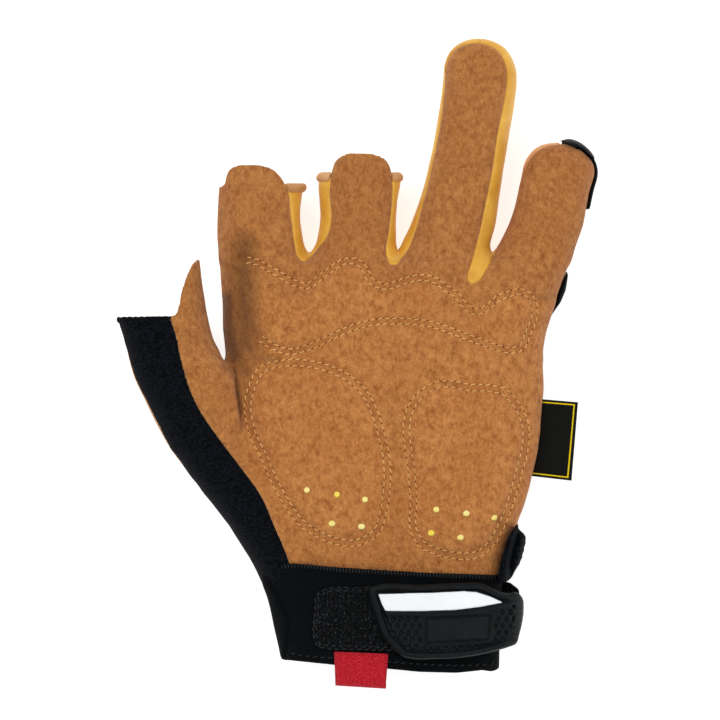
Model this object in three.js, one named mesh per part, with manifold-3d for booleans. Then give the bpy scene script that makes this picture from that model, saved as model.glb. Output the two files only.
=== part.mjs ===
// A left-hand framer glove lying on its back with the palm up: thumb, index and middle are open-ended.
// Millimetres, +Y towards the fingertips, +Z out of the palm, +X towards the little finger.
import * as THREE from 'three';
import { mergeVertices } from 'three/addons/utils/BufferGeometryUtils.js';
import Module from 'manifold-3d';

const wasm = await Module();
wasm.setup();

// Hand sizes
const PALM_LENGTH = 107.9;
const PALM_WIDTH = 113.6;
const PALM_THICK = 34;
const CUFF_LENGTH = 36.2;
const CUFF_WIDTH = 82.4;
const CUFF_THICK = 38;
const THUMB_LENGTH = 107.9;
const THUMB_WIDTH = 32;
const THUMB_THICK = 25;
const THUMB_LEAN = -22;
const FINGER_THICK = 25;

// Each finger: where it leaves the palm, its length, width and sideways lean
const FINGERS = {
  index: { across: -0.38, along: 1, length: 39.8, width: 30.5, lean: -0.5 },
  middle: { across: -0.092, along: 1, length: 41.2, width: 28.5, lean: 3 },
  ring: { across: 0.195, along: 1, length: 79.5, width: 27, lean: 9 },
  pinky: { across: 0.436, along: 0.921, length: 51.5, width: 26.5, lean: 15 },
};

// Material thicknesses and small sizes
const WALL = 2.2;
const CUFF_WALL = 2.6;
const GAP = 0.3;
const PAD_RISE = 1.2;
const CREASE_DEPTH = 0.9;
const CREASE_WIDTH = 1.8;
const GUARD_THICK = 4.2;
const FINGER_GUARD_THICK = 2.4;
const HEM_THICK = 1.2;
const HEM_WIDTH = 2.4;
const PATCH_THICK = 1.2;
const TAB_THICK = 3.2;
const TAB_RIM = 0.7;
const TAB_RIM_WIDTH = 1.7;
const STRAP_THICK = 2.4;
const STRAP_BULGE = 5;
const PANEL_THICK = 0.6;
const PULL_WIDTH = 19;
const PULL_THICK = 1.1;
const PULL_DROP = 7;
const LABEL_THICK = 1;
const LABEL_REACH = 12.5;
const LABEL_LENGTH = 27.5;
const BINDING_RISE = 3.4;
const BACK_HEIGHT = 4;
const CUFF_HEIGHT = STRAP_THICK + GAP;
const SIDES = 18;
const HIGH = 90;

// Roundness of the cross-sections: 2 is an ellipse and more is boxier
const PALM_POWER = 2.7;
const CUFF_POWER = 2.6;
const DIGIT_POWER = 2.3;

// How far a cutting shape runs past the open end it cuts, and past the first and last section
const CUT_PAST_END = 4;
const CUT_WELL_PAST_END = 6;
const LAYER_PAST_END = 12;
// How far a closed fingertip grows along the finger for each millimetre that its sides grow
const TIP_GROWTH = 0.8;
// Sideways reach of the shapes that cut out the thumb's panels, as shares of half its width
const THUMB_REACH_RIGHT = 1.35;
const THUMB_REACH_LEFT = -1.4;
// Depth of the wrist binding in the palm's side and of the strap's edge in the cuff's, as shares of it
const BINDING_DEPTH = 0.28;
const STRAP_DEPTH = 0.45;

// Cross-sections of the palm from the wrist seam to the finger forks, as shares of the palm's sizes
const PALM_ROWS = [
  { along: -0.06, left: -0.392, right: 0.418, thick: 0.97, lift: 0 },
  { along: 0.06, left: -0.417, right: 0.44, thick: 1.02, lift: 0 },
  { along: 0.132, left: -0.439, right: 0.423, thick: 1.06, lift: 0 },
  { along: 0.217, left: -0.464, right: 0.442, thick: 1.08, lift: 0 },
  { along: 0.382, left: -0.495, right: 0.48, thick: 1.06, lift: 0 },
  { along: 0.56, left: -0.503, right: 0.498, thick: 0.98, lift: 0 },
  { along: 0.7, left: -0.502, right: 0.5, thick: 0.94, lift: 0 },
  { along: 0.8, left: -0.507, right: 0.518, thick: 0.91, lift: 0.01 },
  { along: 0.9, left: -0.511, right: 0.542, thick: 0.87, lift: 0.02 },
  { along: 1.015, left: -0.508, right: 0.54, thick: 0.8, lift: 0.04 },
];

// Digit sections: shift and width as shares of the digit's width, thickness and lift of its thickness
const DIGIT_ROWS = {
  index: [
    { along: -0.34, shift: 0.002, wide: 1, thick: 1.06, lift: 0.02 },
    { along: 0, shift: -0.006, wide: 1.013, thick: 1.04, lift: 0.05 },
    { along: 0.14, shift: -0.004, wide: 1.036, thick: 1, lift: 0.07 },
    { along: 0.32, shift: -0.031, wide: 1.001, thick: 0.97, lift: 0.08 },
    { along: 0.68, shift: -0.004, wide: 1.001, thick: 0.94, lift: 0.1 },
    { along: 0.86, shift: -0.008, wide: 0.92, thick: 0.91, lift: 0.12 },
    { along: 1.02, shift: -0.006, wide: 0.84, thick: 0.86, lift: 0.15 },
  ],
  middle: [
    { along: -0.33, shift: 0.006, wide: 1.1, thick: 1.06, lift: 0.02 },
    { along: 0, shift: -0.03, wide: 1.12, thick: 1.04, lift: 0.05 },
    { along: 0.12, shift: -0.003, wide: 1.059, thick: 1, lift: 0.07 },
    { along: 0.4, shift: 0.026, wide: 0.959, thick: 0.96, lift: 0.09 },
    { along: 0.57, shift: 0.007, wide: 0.996, thick: 0.95, lift: 0.1 },
    { along: 0.74, shift: 0.019, wide: 1.04, thick: 0.93, lift: 0.11 },
    { along: 0.88, shift: 0.008, wide: 0.947, thick: 0.9, lift: 0.13 },
    { along: 1.02, shift: 0.005, wide: 0.88, thick: 0.86, lift: 0.15 },
  ],
  ring: [
    { along: -0.17, shift: -0.019, wide: 1.15, thick: 1.06, lift: 0.02 },
    { along: 0, shift: -0.045, wide: 1.2, thick: 1.04, lift: 0.05 },
    { along: 0.16, shift: 0.01, wide: 1.144, thick: 0.98, lift: 0.06 },
    { along: 0.3, shift: 0.052, wide: 1.06, thick: 0.95, lift: 0.08 },
    { along: 0.52, shift: 0.074, wide: 0.999, thick: 0.91, lift: 0.1 },
    { along: 0.65, shift: 0.09, wide: 0.999, thick: 0.89, lift: 0.13 },
    { along: 0.79, shift: 0.067, wide: 0.999, thick: 0.85, lift: 0.17 },
    { along: 0.88, shift: 0.035, wide: 0.97, thick: 0.78, lift: 0.21 },
    { along: 0.935, shift: 0.0, wide: 0.9, thick: 0.68, lift: 0.27 },
    { along: 0.97, shift: -0.03, wide: 0.7, thick: 0.52, lift: 0.36 },
    { along: 1, shift: -0.055, wide: 0.34, thick: 0.26, lift: 0.5 },
  ],
  pinky: [
    { along: -0.3, shift: -0.07, wide: 1.1, thick: 1.0, lift: 0.02 },
    { along: 0, shift: -0.027, wide: 1.072, thick: 0.97, lift: 0.06 },
    { along: 0.28, shift: 0.031, wide: 1.03, thick: 0.92, lift: 0.09 },
    { along: 0.48, shift: 0.075, wide: 0.98, thick: 0.88, lift: 0.12 },
    { along: 0.69, shift: 0.065, wide: 0.98, thick: 0.83, lift: 0.16 },
    { along: 0.83, shift: 0.05, wide: 0.91, thick: 0.75, lift: 0.21 },
    { along: 0.91, shift: 0.02, wide: 0.76, thick: 0.64, lift: 0.28 },
    { along: 0.965, shift: -0.02, wide: 0.52, thick: 0.48, lift: 0.37 },
    { along: 1, shift: -0.06, wide: 0.24, thick: 0.24, lift: 0.5 },
  ],
  thumb: [
    { along: -0.06, shift: 0.15, wide: 0.8, thick: 1.16, lift: 0.08 },
    { along: 0.09, shift: 0.122, wide: 0.943, thick: 1.26, lift: 0.04 },
    { along: 0.18, shift: 0.057, wide: 1.032, thick: 1.28, lift: 0.04 },
    { along: 0.28, shift: -0.025, wide: 1.132, thick: 1.26, lift: 0.06 },
    { along: 0.38, shift: -0.107, wide: 1.165, thick: 1.22, lift: 0.1 },
    { along: 0.48, shift: -0.167, wide: 1.176, thick: 1.18, lift: 0.15 },
    { along: 0.61, shift: -0.198, wide: 1.154, thick: 1.12, lift: 0.22 },
    { along: 0.67, shift: -0.228, wide: 1.087, thick: 1.08, lift: 0.27 },
    { along: 0.74, shift: -0.227, wide: 1.026, thick: 1.03, lift: 0.32 },
    { along: 0.81, shift: -0.173, wide: 0.998, thick: 1, lift: 0.36 },
    { along: 0.91, shift: -0.047, wide: 0.893, thick: 0.94, lift: 0.4 },
    { along: 1.02, shift: 0.11, wide: 0.75, thick: 0.86, lift: 0.46 },
  ],
};

// Cuff sections from above the wrist seam down to the hem
const CUFF_ROWS = [
  { along: -0.12, left: -0.51, right: 0.5, thick: 0.98, lift: 0 },
  { along: 0.137, left: -0.522, right: 0.51, thick: 1, lift: 0 },
  { along: 0.294, left: -0.5, right: 0.5, thick: 1, lift: 0 },
  { along: 0.6, left: -0.476, right: 0.498, thick: 1, lift: 0 },
  { along: 1, left: -0.44, right: 0.5, thick: 1, lift: 0 },
];

// Where the suede ends on each finger, as shares of half the finger's width; 2 runs past the finger's side
const SUEDE_ROWS = {
  index: [
    { along: -0.1, left: -2, right: 0.8 },
    { along: 0.1, left: -2, right: 0.76 },
    { along: 0.5, left: -2, right: 0.73 },
    { along: 1.1, left: -2, right: 0.66 },
  ],
  middle: [
    { along: -0.1, left: -0.9, right: 0.83 },
    { along: 0.06, left: -0.89, right: 0.81 },
    { along: 0.2, left: -0.75, right: 0.81 },
    { along: 1.1, left: -0.7, right: 0.8 },
  ],
  ring: [
    { along: -0.04, left: -0.88, right: 0.6 },
    { along: 0.05, left: -0.84, right: 0.66 },
    { along: 0.5, left: -0.88, right: 0.7 },
    { along: 0.86, left: -0.89, right: 0.72 },
    { along: 0.972, left: -0.8, right: 0.74 },
  ],
  pinky: [
    { along: -0.06, left: -0.96, right: 2 },
    { along: 0.5, left: -0.95, right: 2 },
    { along: 1.1, left: -0.85, right: 2 },
  ],
};

// Rounded upper edge of the suede on the open fingers, as shares of the digit's length and half width
const SUEDE_TIP = [
  { along: -0.5, across: 2.2 },
  { along: 0.76, across: 2.2 },
  { along: 0.78, across: 0.96 },
  { along: 0.88, across: 0.5 },
  { along: 0.905, across: 0.1 },
  { along: 0.9, across: -0.3 },
  { along: 0.86, across: -0.62 },
  { along: 0.75, across: -1.0 },
  { along: 0.72, across: -2.2 },
  { along: -0.5, across: -2.2 },
];
const BACK_END = 0.67;

// The strips between the fingers start this far up the palm
const FOURCHETTES = [
  { left: 'index', right: 'middle', from: 0.975 },
  { left: 'middle', right: 'ring', from: 0.97 },
  { left: 'ring', right: 'pinky', from: 0.92 },
];
const FOURCHETTE_DEPTH = 0.16;
const WEB_LAP = 0.5;

// Palm suede outline, as shares of the palm's width and length from the middle of the wrist seam
const PALM_OUTLINE = [
  { across: -0.298, along: 0.007 },
  { across: 0.358, along: -0.03 },
  { across: 0.373, along: 0.053 },
  { across: 0.408, along: 0.125 },
  { across: 0.464, along: 0.178 },
  { across: 0.677, along: 0.283 },
  { across: 0.677, along: 0.921 },
  { across: 0.283, along: 0.921 },
  { across: 0.258, along: 0.941 },
  { across: 0.27, along: 0.98 },
  { across: -0.548, along: 0.98 },
  { across: -0.539, along: 0.908 },
  { across: -0.527, along: 0.809 },
  { across: -0.508, along: 0.678 },
  { across: -0.467, along: 0.638 },
  { across: -0.461, along: 0.579 },
  { across: -0.445, along: 0.467 },
  { across: -0.492, along: 0.392 },
  { across: -0.455, along: 0.336 },
  { across: -0.383, along: 0.23 },
  { across: -0.348, along: 0.151 },
  { across: -0.317, along: 0.072 },
];

// Back panel outline; above it the finger backs begin, left of it the thumb back
const BACK_OUTLINE = [
  { across: -0.38, along: 0 },
  { across: 0.68, along: 0 },
  { across: 0.68, along: 0.875 },
  { across: -0.545, along: 0.875 },
  { across: -0.527, along: 0.809 },
  { across: -0.505, along: 0.671 },
  { across: -0.461, along: 0.48 },
  { across: -0.423, along: 0.217 },
];

// Lines between neighbouring fingers
const FINGER_BORDERS = [
  [{ across: -0.527, along: 0.8 }, { across: -0.539, along: 0.908 }, { across: -0.6, along: 1.9 }],
  [{ across: -0.242, along: 0.8 }, { across: -0.24, along: 1.02 }, { across: -0.222, along: 1.2 },
    { across: -0.21, along: 1.9 }],
  [{ across: 0.04, along: 0.8 }, { across: 0.043, along: 1.03 }, { across: 0.08, along: 1.2 },
    { across: 0.12, along: 1.9 }],
  [{ across: 0.262, along: 0.8 }, { across: 0.339, along: 1.024 }, { across: 0.6, along: 1.9 }],
  [{ across: 0.75, along: 0.8 }, { across: 0.95, along: 1.9 }],
];

// The knit side panel's inner edge on the thumb, as shares of half the thumb's width
const SIDE_EDGE = [
  { along: 0.36, across: 0.08 },
  { along: 0.42, across: 0.068 },
  { along: 0.48, across: 0.028 },
  { along: 0.55, across: -0.029 },
  { along: 0.61, across: -0.01 },
  { along: 0.67, across: 0.071 },
  { along: 0.74, across: 0.163 },
  { along: 0.815, across: 0.13 },
  { along: 0.88, across: 0.38 },
  { along: 1, across: 0.85 },
];
const THUMB_OPENING = 0.818;

// Raised pads of the palm
const PADS = {
  knuckle: [
    { across: -0.42, along: 0.9 },
    { across: -0.433, along: 0.8 },
    { across: -0.386, along: 0.737 },
    { across: -0.292, along: 0.698 },
    { across: -0.18, along: 0.737 },
    { across: -0.077, along: 0.783 },
    { across: 0.039, along: 0.8 },
    { across: 0.145, along: 0.796 },
    { across: 0.252, along: 0.75 },
    { across: 0.43, along: 0.707 },
    { across: 0.476, along: 0.806 },
    { across: 0.455, along: 0.89 },
    { across: 0.33, along: 0.869 },
    { across: 0.28, along: 0.846 },
    { across: 0.236, along: 0.898 },
    { across: 0.164, along: 0.947 },
    { across: 0.005, along: 0.928 },
    { across: -0.06, along: 0.975 },
    { across: -0.115, along: 1.01 },
    { across: -0.236, along: 0.93 },
  ],
  heelLeft: [
    { across: -0.38, along: 0.65 },
    { across: -0.415, along: 0.56 },
    { across: -0.42, along: 0.45 },
    { across: -0.38, along: 0.355 },
    { across: -0.323, along: 0.227 },
    { across: -0.252, along: 0.128 },
    { across: -0.152, along: 0.076 },
    { across: -0.067, along: 0.076 },
    { across: -0.005, along: 0.135 },
    { across: 0.02, along: 0.3 },
    { across: 0.005, along: 0.428 },
    { across: -0.036, along: 0.543 },
    { across: -0.136, along: 0.628 },
    { across: -0.261, along: 0.664 },
  ],
  heelRight: [
    { across: 0.067, along: 0.497 },
    { across: 0.064, along: 0.415 },
    { across: 0.08, along: 0.25 },
    { across: 0.089, along: 0.102 },
    { across: 0.145, along: 0.046 },
    { across: 0.252, along: 0.023 },
    { across: 0.333, along: 0.059 },
    { across: 0.38, along: 0.141 },
    { across: 0.42, along: 0.26 },
    { across: 0.452, along: 0.415 },
    { across: 0.442, along: 0.497 },
    { across: 0.389, along: 0.576 },
    { across: 0.302, along: 0.599 },
    { across: 0.208, along: 0.612 },
    { across: 0.114, along: 0.576 },
  ],
};

// Creases of the palm, each a short run of points
const CREASES = [
  [{ across: -0.41, along: 0.684 }, { across: -0.292, along: 0.68 }, { across: -0.17, along: 0.71 }],
  [{ across: 0.49, along: 0.89 }, { across: 0.6, along: 0.9 }],
  [{ across: 0.03, along: 0.64 }, { across: 0.04, along: 0.45 }, { across: 0.05, along: 0.1 }],
];

// Moulded guard over the knuckles, seen from the palm side
const GUARD_OUTLINE = [
  { across: -0.42, along: 0.6 },
  { across: -0.2, along: 0.54 },
  { across: 0.2, along: 0.55 },
  { across: 0.44, along: 0.66 },
  { across: 0.502, along: 0.77 },
  { across: 0.53, along: 0.828 },
  { across: 0.572, along: 0.908 },
  { across: 0.58, along: 0.97 },
  { across: 0.42, along: 0.93 },
  { across: 0.16, along: 0.9 },
  { across: -0.15, along: 0.93 },
  { across: -0.4, along: 0.9 },
];

// Guards on the finger backs, as shares of each finger's length and half width
const FINGER_GUARDS = {
  index: { from: 0.1, to: 0.58, left: -0.55, right: 0.55, top: 0.14 },
  middle: { from: 0.1, to: 0.6, left: -0.55, right: 0.55, top: 0.14 },
  ring: { from: 0.2, to: 0.86, left: -0.55, right: 0.55, top: 0.14 },
  pinky: { from: 0.25, to: 1.2, left: -0.35, right: 2, top: 0.44 },
};

// Outlines on the cuff, as shares of its width and length measured down from the seam
const PATCH_OUTLINE = [
  { across: -0.3, along: 0.82 },
  { across: -0.302, along: 0.3 },
  { across: -0.25, along: 0.21 },
  { across: 0.35, along: 0.21 },
  { across: 0.35, along: 0.82 },
];
const TAB_OUTLINE = [
  { across: -0.065, along: 0.2 },
  { across: 0.34, along: 0.17 },
  { across: 0.43, along: 0.17 },
  { across: 0.51, along: 0.265 },
  { across: 0.75, along: 0.26 },
  { across: 0.75, along: 0.78 },
  { across: 0.495, along: 0.815 },
  { across: 0.3, along: 0.9 },
  { across: 0.13, along: 0.9 },
  { across: 0.05, along: 0.84 },
];
const ID_OUTLINE = [
  { across: -0.02, along: 0.28 },
  { across: 0.35, along: 0.245 },
  { across: 0.46, along: 0.31 },
  { across: 0.47, along: 0.36 },
  { across: 0.28, along: 0.425 },
  { across: 0.02, along: 0.425 },
];
const PLATE_OUTLINE = [
  { across: 0.165, along: 0.49 },
  { across: 0.45, along: 0.45 },
  { across: 0.44, along: 0.72 },
  { across: 0.165, along: 0.75 },
];
const STRAP_FROM = 0.24;
const STRAP_TO = 0.78;
const STRAP_LEFT = -0.3;
const PULL_ACROSS = -0.098;
const PULL_TOP = 0.85;
const LABEL_ALONG = 0.426;
const LABEL_TILT = -6;

// Plain numeric helpers
function rowAt(rows, along) {
  let i = 1;
  while (i < rows.length - 1 && rows[i].along < along) i += 1;
  const a = rows[i - 1];
  const b = rows[i];
  const t = THREE.MathUtils.clamp((along - a.along) / (b.along - a.along), 0, 1);
  const row = {};
  for (const key of Object.keys(a)) row[key] = THREE.MathUtils.lerp(a[key], b[key], t);
  return row;
}

function palmPoint(point) {
  return new THREE.Vector2(point.across * PALM_WIDTH, point.along * PALM_LENGTH);
}

function cuffPoint(point) {
  return new THREE.Vector2(point.across * CUFF_WIDTH, -point.along * CUFF_LENGTH);
}

// A section holds its place, half width, half thickness and roundness
function palmSection(row) {
  const left = row.left * PALM_WIDTH;
  const right = row.right * PALM_WIDTH;
  const thick = row.thick * PALM_THICK;
  const z = BACK_HEIGHT + row.lift * PALM_THICK + thick / 2;
  const y = row.along * PALM_LENGTH;
  return { x: (left + right) / 2, y, z, a: (right - left) / 2, b: thick / 2, power: PALM_POWER };
}

function cuffSection(row) {
  const left = row.left * CUFF_WIDTH;
  const right = row.right * CUFF_WIDTH;
  const thick = row.thick * CUFF_THICK;
  const z = CUFF_HEIGHT + row.lift * CUFF_THICK + thick / 2;
  const y = -row.along * CUFF_LENGTH;
  return { x: (left + right) / 2, y, z, a: (right - left) / 2, b: thick / 2, power: CUFF_POWER };
}

const DIGITS = {
  ...FINGERS,
  thumb: { across: -0.327, along: 0, length: THUMB_LENGTH, width: THUMB_WIDTH, lean: THUMB_LEAN },
};

function digitThick(name) {
  return name === 'thumb' ? THUMB_THICK : FINGER_THICK;
}

function digitSection(name, row) {
  const digit = DIGITS[name];
  const reach = row.along * digit.length;
  const thick = row.thick * digitThick(name);
  const lean = Math.tan(THREE.MathUtils.degToRad(digit.lean)) * reach;
  return {
    x: digit.across * PALM_WIDTH + lean + row.shift * digit.width,
    y: digit.along * PALM_LENGTH + reach,
    z: BACK_HEIGHT + row.lift * digitThick(name) + thick / 2,
    a: (row.wide * digit.width) / 2,
    b: thick / 2,
    power: DIGIT_POWER,
  };
}

function digitSections(name) {
  return DIGIT_ROWS[name].map((row) => digitSection(name, row));
}

// Closed solids from three.js geometry
function toSolid(geometry) {
  const bare = geometry.index ? geometry.toNonIndexed() : geometry;
  for (const key of Object.keys(bare.attributes)) if (key !== 'position') bare.deleteAttribute(key);
  const merged = mergeVertices(bare, 1e-4);
  const triangles = [];
  const index = merged.index.array;
  for (let i = 0; i < index.length; i += 3) {
    const [a, b, c] = [index[i], index[i + 1], index[i + 2]];
    if (a !== b && b !== c && a !== c) triangles.push(a, b, c);
  }
  const mesh = new wasm.Mesh({
    numProp: 3,
    vertProperties: new Float32Array(merged.attributes.position.array),
    triVerts: new Uint32Array(triangles),
  });
  return new wasm.Manifold(mesh);
}

function loft(rings) {
  const sides = rings[0].length;
  const positions = [];
  const index = [];
  for (const ring of rings) for (const p of ring) positions.push(p.x, p.y, p.z);
  for (const ring of [rings[0], rings[rings.length - 1]]) {
    const middle = new THREE.Vector3();
    for (const p of ring) middle.addScaledVector(p, 1 / sides);
    positions.push(middle.x, middle.y, middle.z);
  }
  const firstMiddle = rings.length * sides;
  const lastRing = (rings.length - 1) * sides;
  for (let k = 0; k < sides; k += 1) {
    const next = (k + 1) % sides;
    index.push(firstMiddle, next, k);
    index.push(firstMiddle + 1, lastRing + k, lastRing + next);
    for (let r = 0; r < rings.length - 1; r += 1) {
      const low = r * sides;
      const high = low + sides;
      index.push(low + k, low + next, high + next);
      index.push(low + k, high + next, high + k);
    }
  }
  const geometry = new THREE.BufferGeometry();
  geometry.setAttribute('position', new THREE.Float32BufferAttribute(positions, 3));
  geometry.setIndex(index);
  return toSolid(geometry);
}

// A rounded section with a flat facet at its top and bottom, and a corner at each side
function ringOf(section, grow) {
  const ring = [];
  const flat = Math.cos(Math.PI / SIDES) ** (2 / section.power);
  const a = Math.max(section.a + grow, 0.6);
  const b = Math.max(section.b + grow, 0.6) / flat;
  for (let k = 0; k < SIDES; k += 1) {
    const angle = -(k / SIDES) * 2 * Math.PI;
    const c = Math.cos(angle);
    const s = Math.sin(angle);
    const x = Math.sign(c) * Math.abs(c) ** (2 / section.power) * a;
    const z = Math.sign(s) * Math.abs(s) ** (2 / section.power) * b;
    ring.push(new THREE.Vector3(section.x + x, section.y, section.z + z));
  }
  return ring;
}

// A tube through its sections, grown outwards, with each end moved by a length of its own
function tube(sections, grow, startMove, endMove) {
  const rings = sections.map((section) => ringOf(section, grow));
  const direction = Math.sign(sections[1].y - sections[0].y);
  for (const p of rings[0]) p.y -= startMove * direction;
  for (const p of rings[rings.length - 1]) p.y += endMove * direction;
  if (direction < 0) rings.reverse();
  return loft(rings);
}

function prism(points, low, high) {
  const shape = new THREE.Shape(points);
  const geometry = new THREE.ExtrudeGeometry(shape, { depth: high - low, bevelEnabled: false });
  geometry.translate(0, 0, low);
  return toSolid(geometry);
}

// Moves an anticlockwise outline outwards by a distance
function growOutline(points, distance) {
  const count = points.length;
  return points.map((point, i) => {
    const before = points[(i + count - 1) % count];
    const after = points[(i + 1) % count];
    const d1 = point.clone().sub(before).normalize();
    const d2 = after.clone().sub(point).normalize();
    const n1 = new THREE.Vector2(d1.y, -d1.x);
    const n2 = new THREE.Vector2(d2.y, -d2.x);
    const n = n1.clone().add(n2).normalize();
    return point.clone().addScaledVector(n, distance / Math.max(n.dot(n1), 0.4));
  });
}

// Everything between two places along the glove
function crossSlab(low, high) {
  const reach = 2 * PALM_WIDTH;
  const corners = [[-reach, low], [reach, low], [reach, high], [-reach, high]];
  return prism(corners.map(([x, y]) => new THREE.Vector2(x, y)), -HIGH, HIGH);
}

function union(solids) {
  return solids.reduce((all, solid) => all.add(solid));
}

// A band between heights that vary along the glove
function layer(sections, lowOf, highOf, leftOf, rightOf) {
  return loft(
    sections.map((section) => [
      new THREE.Vector3(leftOf(section), section.y, highOf(section)),
      new THREE.Vector3(rightOf(section), section.y, highOf(section)),
      new THREE.Vector3(rightOf(section), section.y, lowOf(section)),
      new THREE.Vector3(leftOf(section), section.y, lowOf(section)),
    ]),
  );
}

// Skin of the hand: all tubes joined, grown by a distance
const PALM_SECTIONS = PALM_ROWS.map(palmSection);
const CUFF_SECTIONS = CUFF_ROWS.map(cuffSection);
const OPEN_DIGITS = ['index', 'middle', 'thumb'];

function handSkin(grow, openReach) {
  const parts = [tube(PALM_SECTIONS, grow, openReach, grow)];
  for (const name of Object.keys(DIGITS)) {
    const endMove = OPEN_DIGITS.includes(name) ? openReach : grow * TIP_GROWTH;
    parts.push(tube(digitSections(name), grow, 0, endMove));
  }
  return union(parts);
}

const OUTER = handSkin(0, 0);
const INNER = handSkin(-WALL, CUT_PAST_END);
const SHELL = OUTER.subtract(INNER);
const CLEAR = handSkin(GAP, CUT_PAST_END);

// Palm-side regions, each able to grow by a gap
function wideLayer(sections, share, grow) {
  const reach = 2 * PALM_WIDTH;
  const low = (s) => s.z + (share - 0.5) * 2 * s.b - grow;
  const ends = [...sections];
  const first = { ...sections[0], y: sections[0].y - LAYER_PAST_END };
  const last = { ...sections[sections.length - 1], y: sections[sections.length - 1].y + LAYER_PAST_END };
  return layer([first, ...ends, last], low, () => HIGH, () => -reach, () => reach);
}

const SEAM_SHARE = 0.5;

function palmZone(grow) {
  const outline = growOutline(PALM_OUTLINE.map(palmPoint), grow);
  return prism(outline, -HIGH, HIGH).intersect(wideLayer(PALM_SECTIONS, SEAM_SHARE, grow));
}

function thumbPoint(point) {
  const section = digitSection('thumb', rowAt(DIGIT_ROWS.thumb, point.along));
  const base = DIGITS.thumb.along * PALM_LENGTH + point.along * THUMB_LENGTH;
  return new THREE.Vector2(section.x + point.across * section.a, base);
}

function thumbLeatherZone(grow) {
  const right = [0.36, 0.5, 0.64, 0.8, 1.02].map((along) => ({ along, across: THUMB_REACH_RIGHT }));
  const left = [...SIDE_EDGE].reverse();
  const points = growOutline([...right, ...left].map(thumbPoint), grow);
  return prism(points, -HIGH, HIGH).intersect(wideLayer(digitSections('thumb'), SEAM_SHARE, grow));
}

function thumbSideZone(grow) {
  const right = [-0.06, 0.2, 0.4, 0.6, THUMB_OPENING].map((along) => ({ along, across: THUMB_REACH_RIGHT }));
  const left = [THUMB_OPENING, 0.6, 0.4, 0.2, -0.06].map((along) => ({ along, across: THUMB_REACH_LEFT }));
  const points = growOutline([...right, ...left].map(thumbPoint), grow);
  return prism(points, -HIGH, HIGH).intersect(wideLayer(digitSections('thumb'), SEAM_SHARE, grow));
}

function thumbBackZone() {
  const low = [[-0.06, THUMB_REACH_RIGHT], [0.2, THUMB_REACH_RIGHT], [0.5, 1.3]];
  const high = [[0.67, 1.15], [0.8, 1.08], [0.985, 1.1]];
  const right = [...low, ...high].map(([along, across]) => ({ along, across }));
  const left = [THUMB_OPENING, 0.5, 0.2, -0.06].map((along) => ({ along, across: THUMB_REACH_LEFT }));
  return prism([...right, ...left].map(thumbPoint), -HIGH, HIGH);
}

function fingerPoint(name, point) {
  const section = digitSection(name, rowAt(DIGIT_ROWS[name], point.along));
  const y = DIGITS[name].along * PALM_LENGTH + point.along * DIGITS[name].length;
  const lean = Math.tan(THREE.MathUtils.degToRad(DIGITS[name].lean));
  return new THREE.Vector2(section.x + lean * (y - section.y) + point.across * section.a, y);
}

function suedeZone(name, grow) {
  const rows = SUEDE_ROWS[name];
  const right = rows.map((row) => ({ along: row.along, across: row.right }));
  const left = [...rows].reverse().map((row) => ({ along: row.along, across: row.left }));
  const points = growOutline([...right, ...left].map((point) => fingerPoint(name, point)), grow);
  let zone = prism(points, -HIGH, HIGH).intersect(wideLayer(digitSections(name), SEAM_SHARE, grow));
  if (OPEN_DIGITS.includes(name)) {
    const tip = growOutline(SUEDE_TIP.map((point) => fingerPoint(name, point)), grow);
    zone = zone.intersect(prism(tip, -HIGH, HIGH));
  }
  return zone;
}

// The column of space that one finger stands in, between the lines to its neighbours
const FINGER_NAMES = Object.keys(FINGERS);

function column(name, inset) {
  const i = FINGER_NAMES.indexOf(name);
  const left = FINGER_BORDERS[i].map(palmPoint);
  const right = FINGER_BORDERS[i + 1].map(palmPoint);
  const points = growOutline([...right, ...left.reverse()], -inset);
  return prism(points, -HIGH, HIGH);
}

// The side strips of the fingers that face each other
function halfColumn(name, side) {
  const i = FINGER_NAMES.indexOf(name);
  const border = FINGER_BORDERS[side > 0 ? i + 1 : i].map(palmPoint);
  for (const p of border) p.x += side * WEB_LAP;
  const offset = (side * GAP) / 2;
  const spine = [-0.45, 0, 0.5, 1.3].map((along) => fingerPoint(name, { along, across: 0 }));
  for (const p of spine) p.x += offset;
  const points = side > 0 ? [...border, ...spine.reverse()] : [...spine, ...border.reverse()];
  return prism(points, -HIGH, HIGH);
}

function fourchetteZone({ left, right, from }, grow) {
  const parts = [];
  const bottom = from * PALM_LENGTH - grow;
  for (const [name, side] of [[left, 1], [right, -1]]) {
    const cover = wideLayer(digitSections(name), FOURCHETTE_DEPTH, grow);
    const ends = OPEN_DIGITS.includes(name) ? BACK_END : 1.3;
    const slab = crossSlab(bottom, fingerPoint(name, { along: ends, across: 0 }).y);
    parts.push(halfColumn(name, side).intersect(cover).intersect(slab));
  }
  return union(parts);
}

// Named regions, worked out once with and without their gap
const ZONES = {};
const CLEAR_ZONES = {};
ZONES.palm = palmZone(0);
CLEAR_ZONES.palm = palmZone(GAP);
ZONES.thumb = thumbLeatherZone(0);
CLEAR_ZONES.thumb = thumbLeatherZone(GAP);
for (const name of FINGER_NAMES) {
  ZONES[name] = suedeZone(name, 0);
  CLEAR_ZONES[name] = suedeZone(name, GAP);
}

const group = new THREE.Group();
group.name = 'framer_glove';

function addPiece(name, solid, color, roughness, metalness) {
  const mesh = solid.getMesh();
  const geometry = new THREE.BufferGeometry();
  geometry.setAttribute('position', new THREE.BufferAttribute(mesh.vertProperties, 3));
  geometry.setIndex(new THREE.BufferAttribute(mesh.triVerts, 1));
  geometry.computeVertexNormals();
  const piece = new THREE.Mesh(geometry, new THREE.MeshStandardMaterial({ color, roughness, metalness }));
  piece.name = name;
  group.add(piece);
}

const SUEDE = '#af703d';
const YELLOW = '#e4ac3c';
const TAN = '#c98d4a';
const KNIT = '#111318';
const RUBBER = '#16181a';

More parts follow.
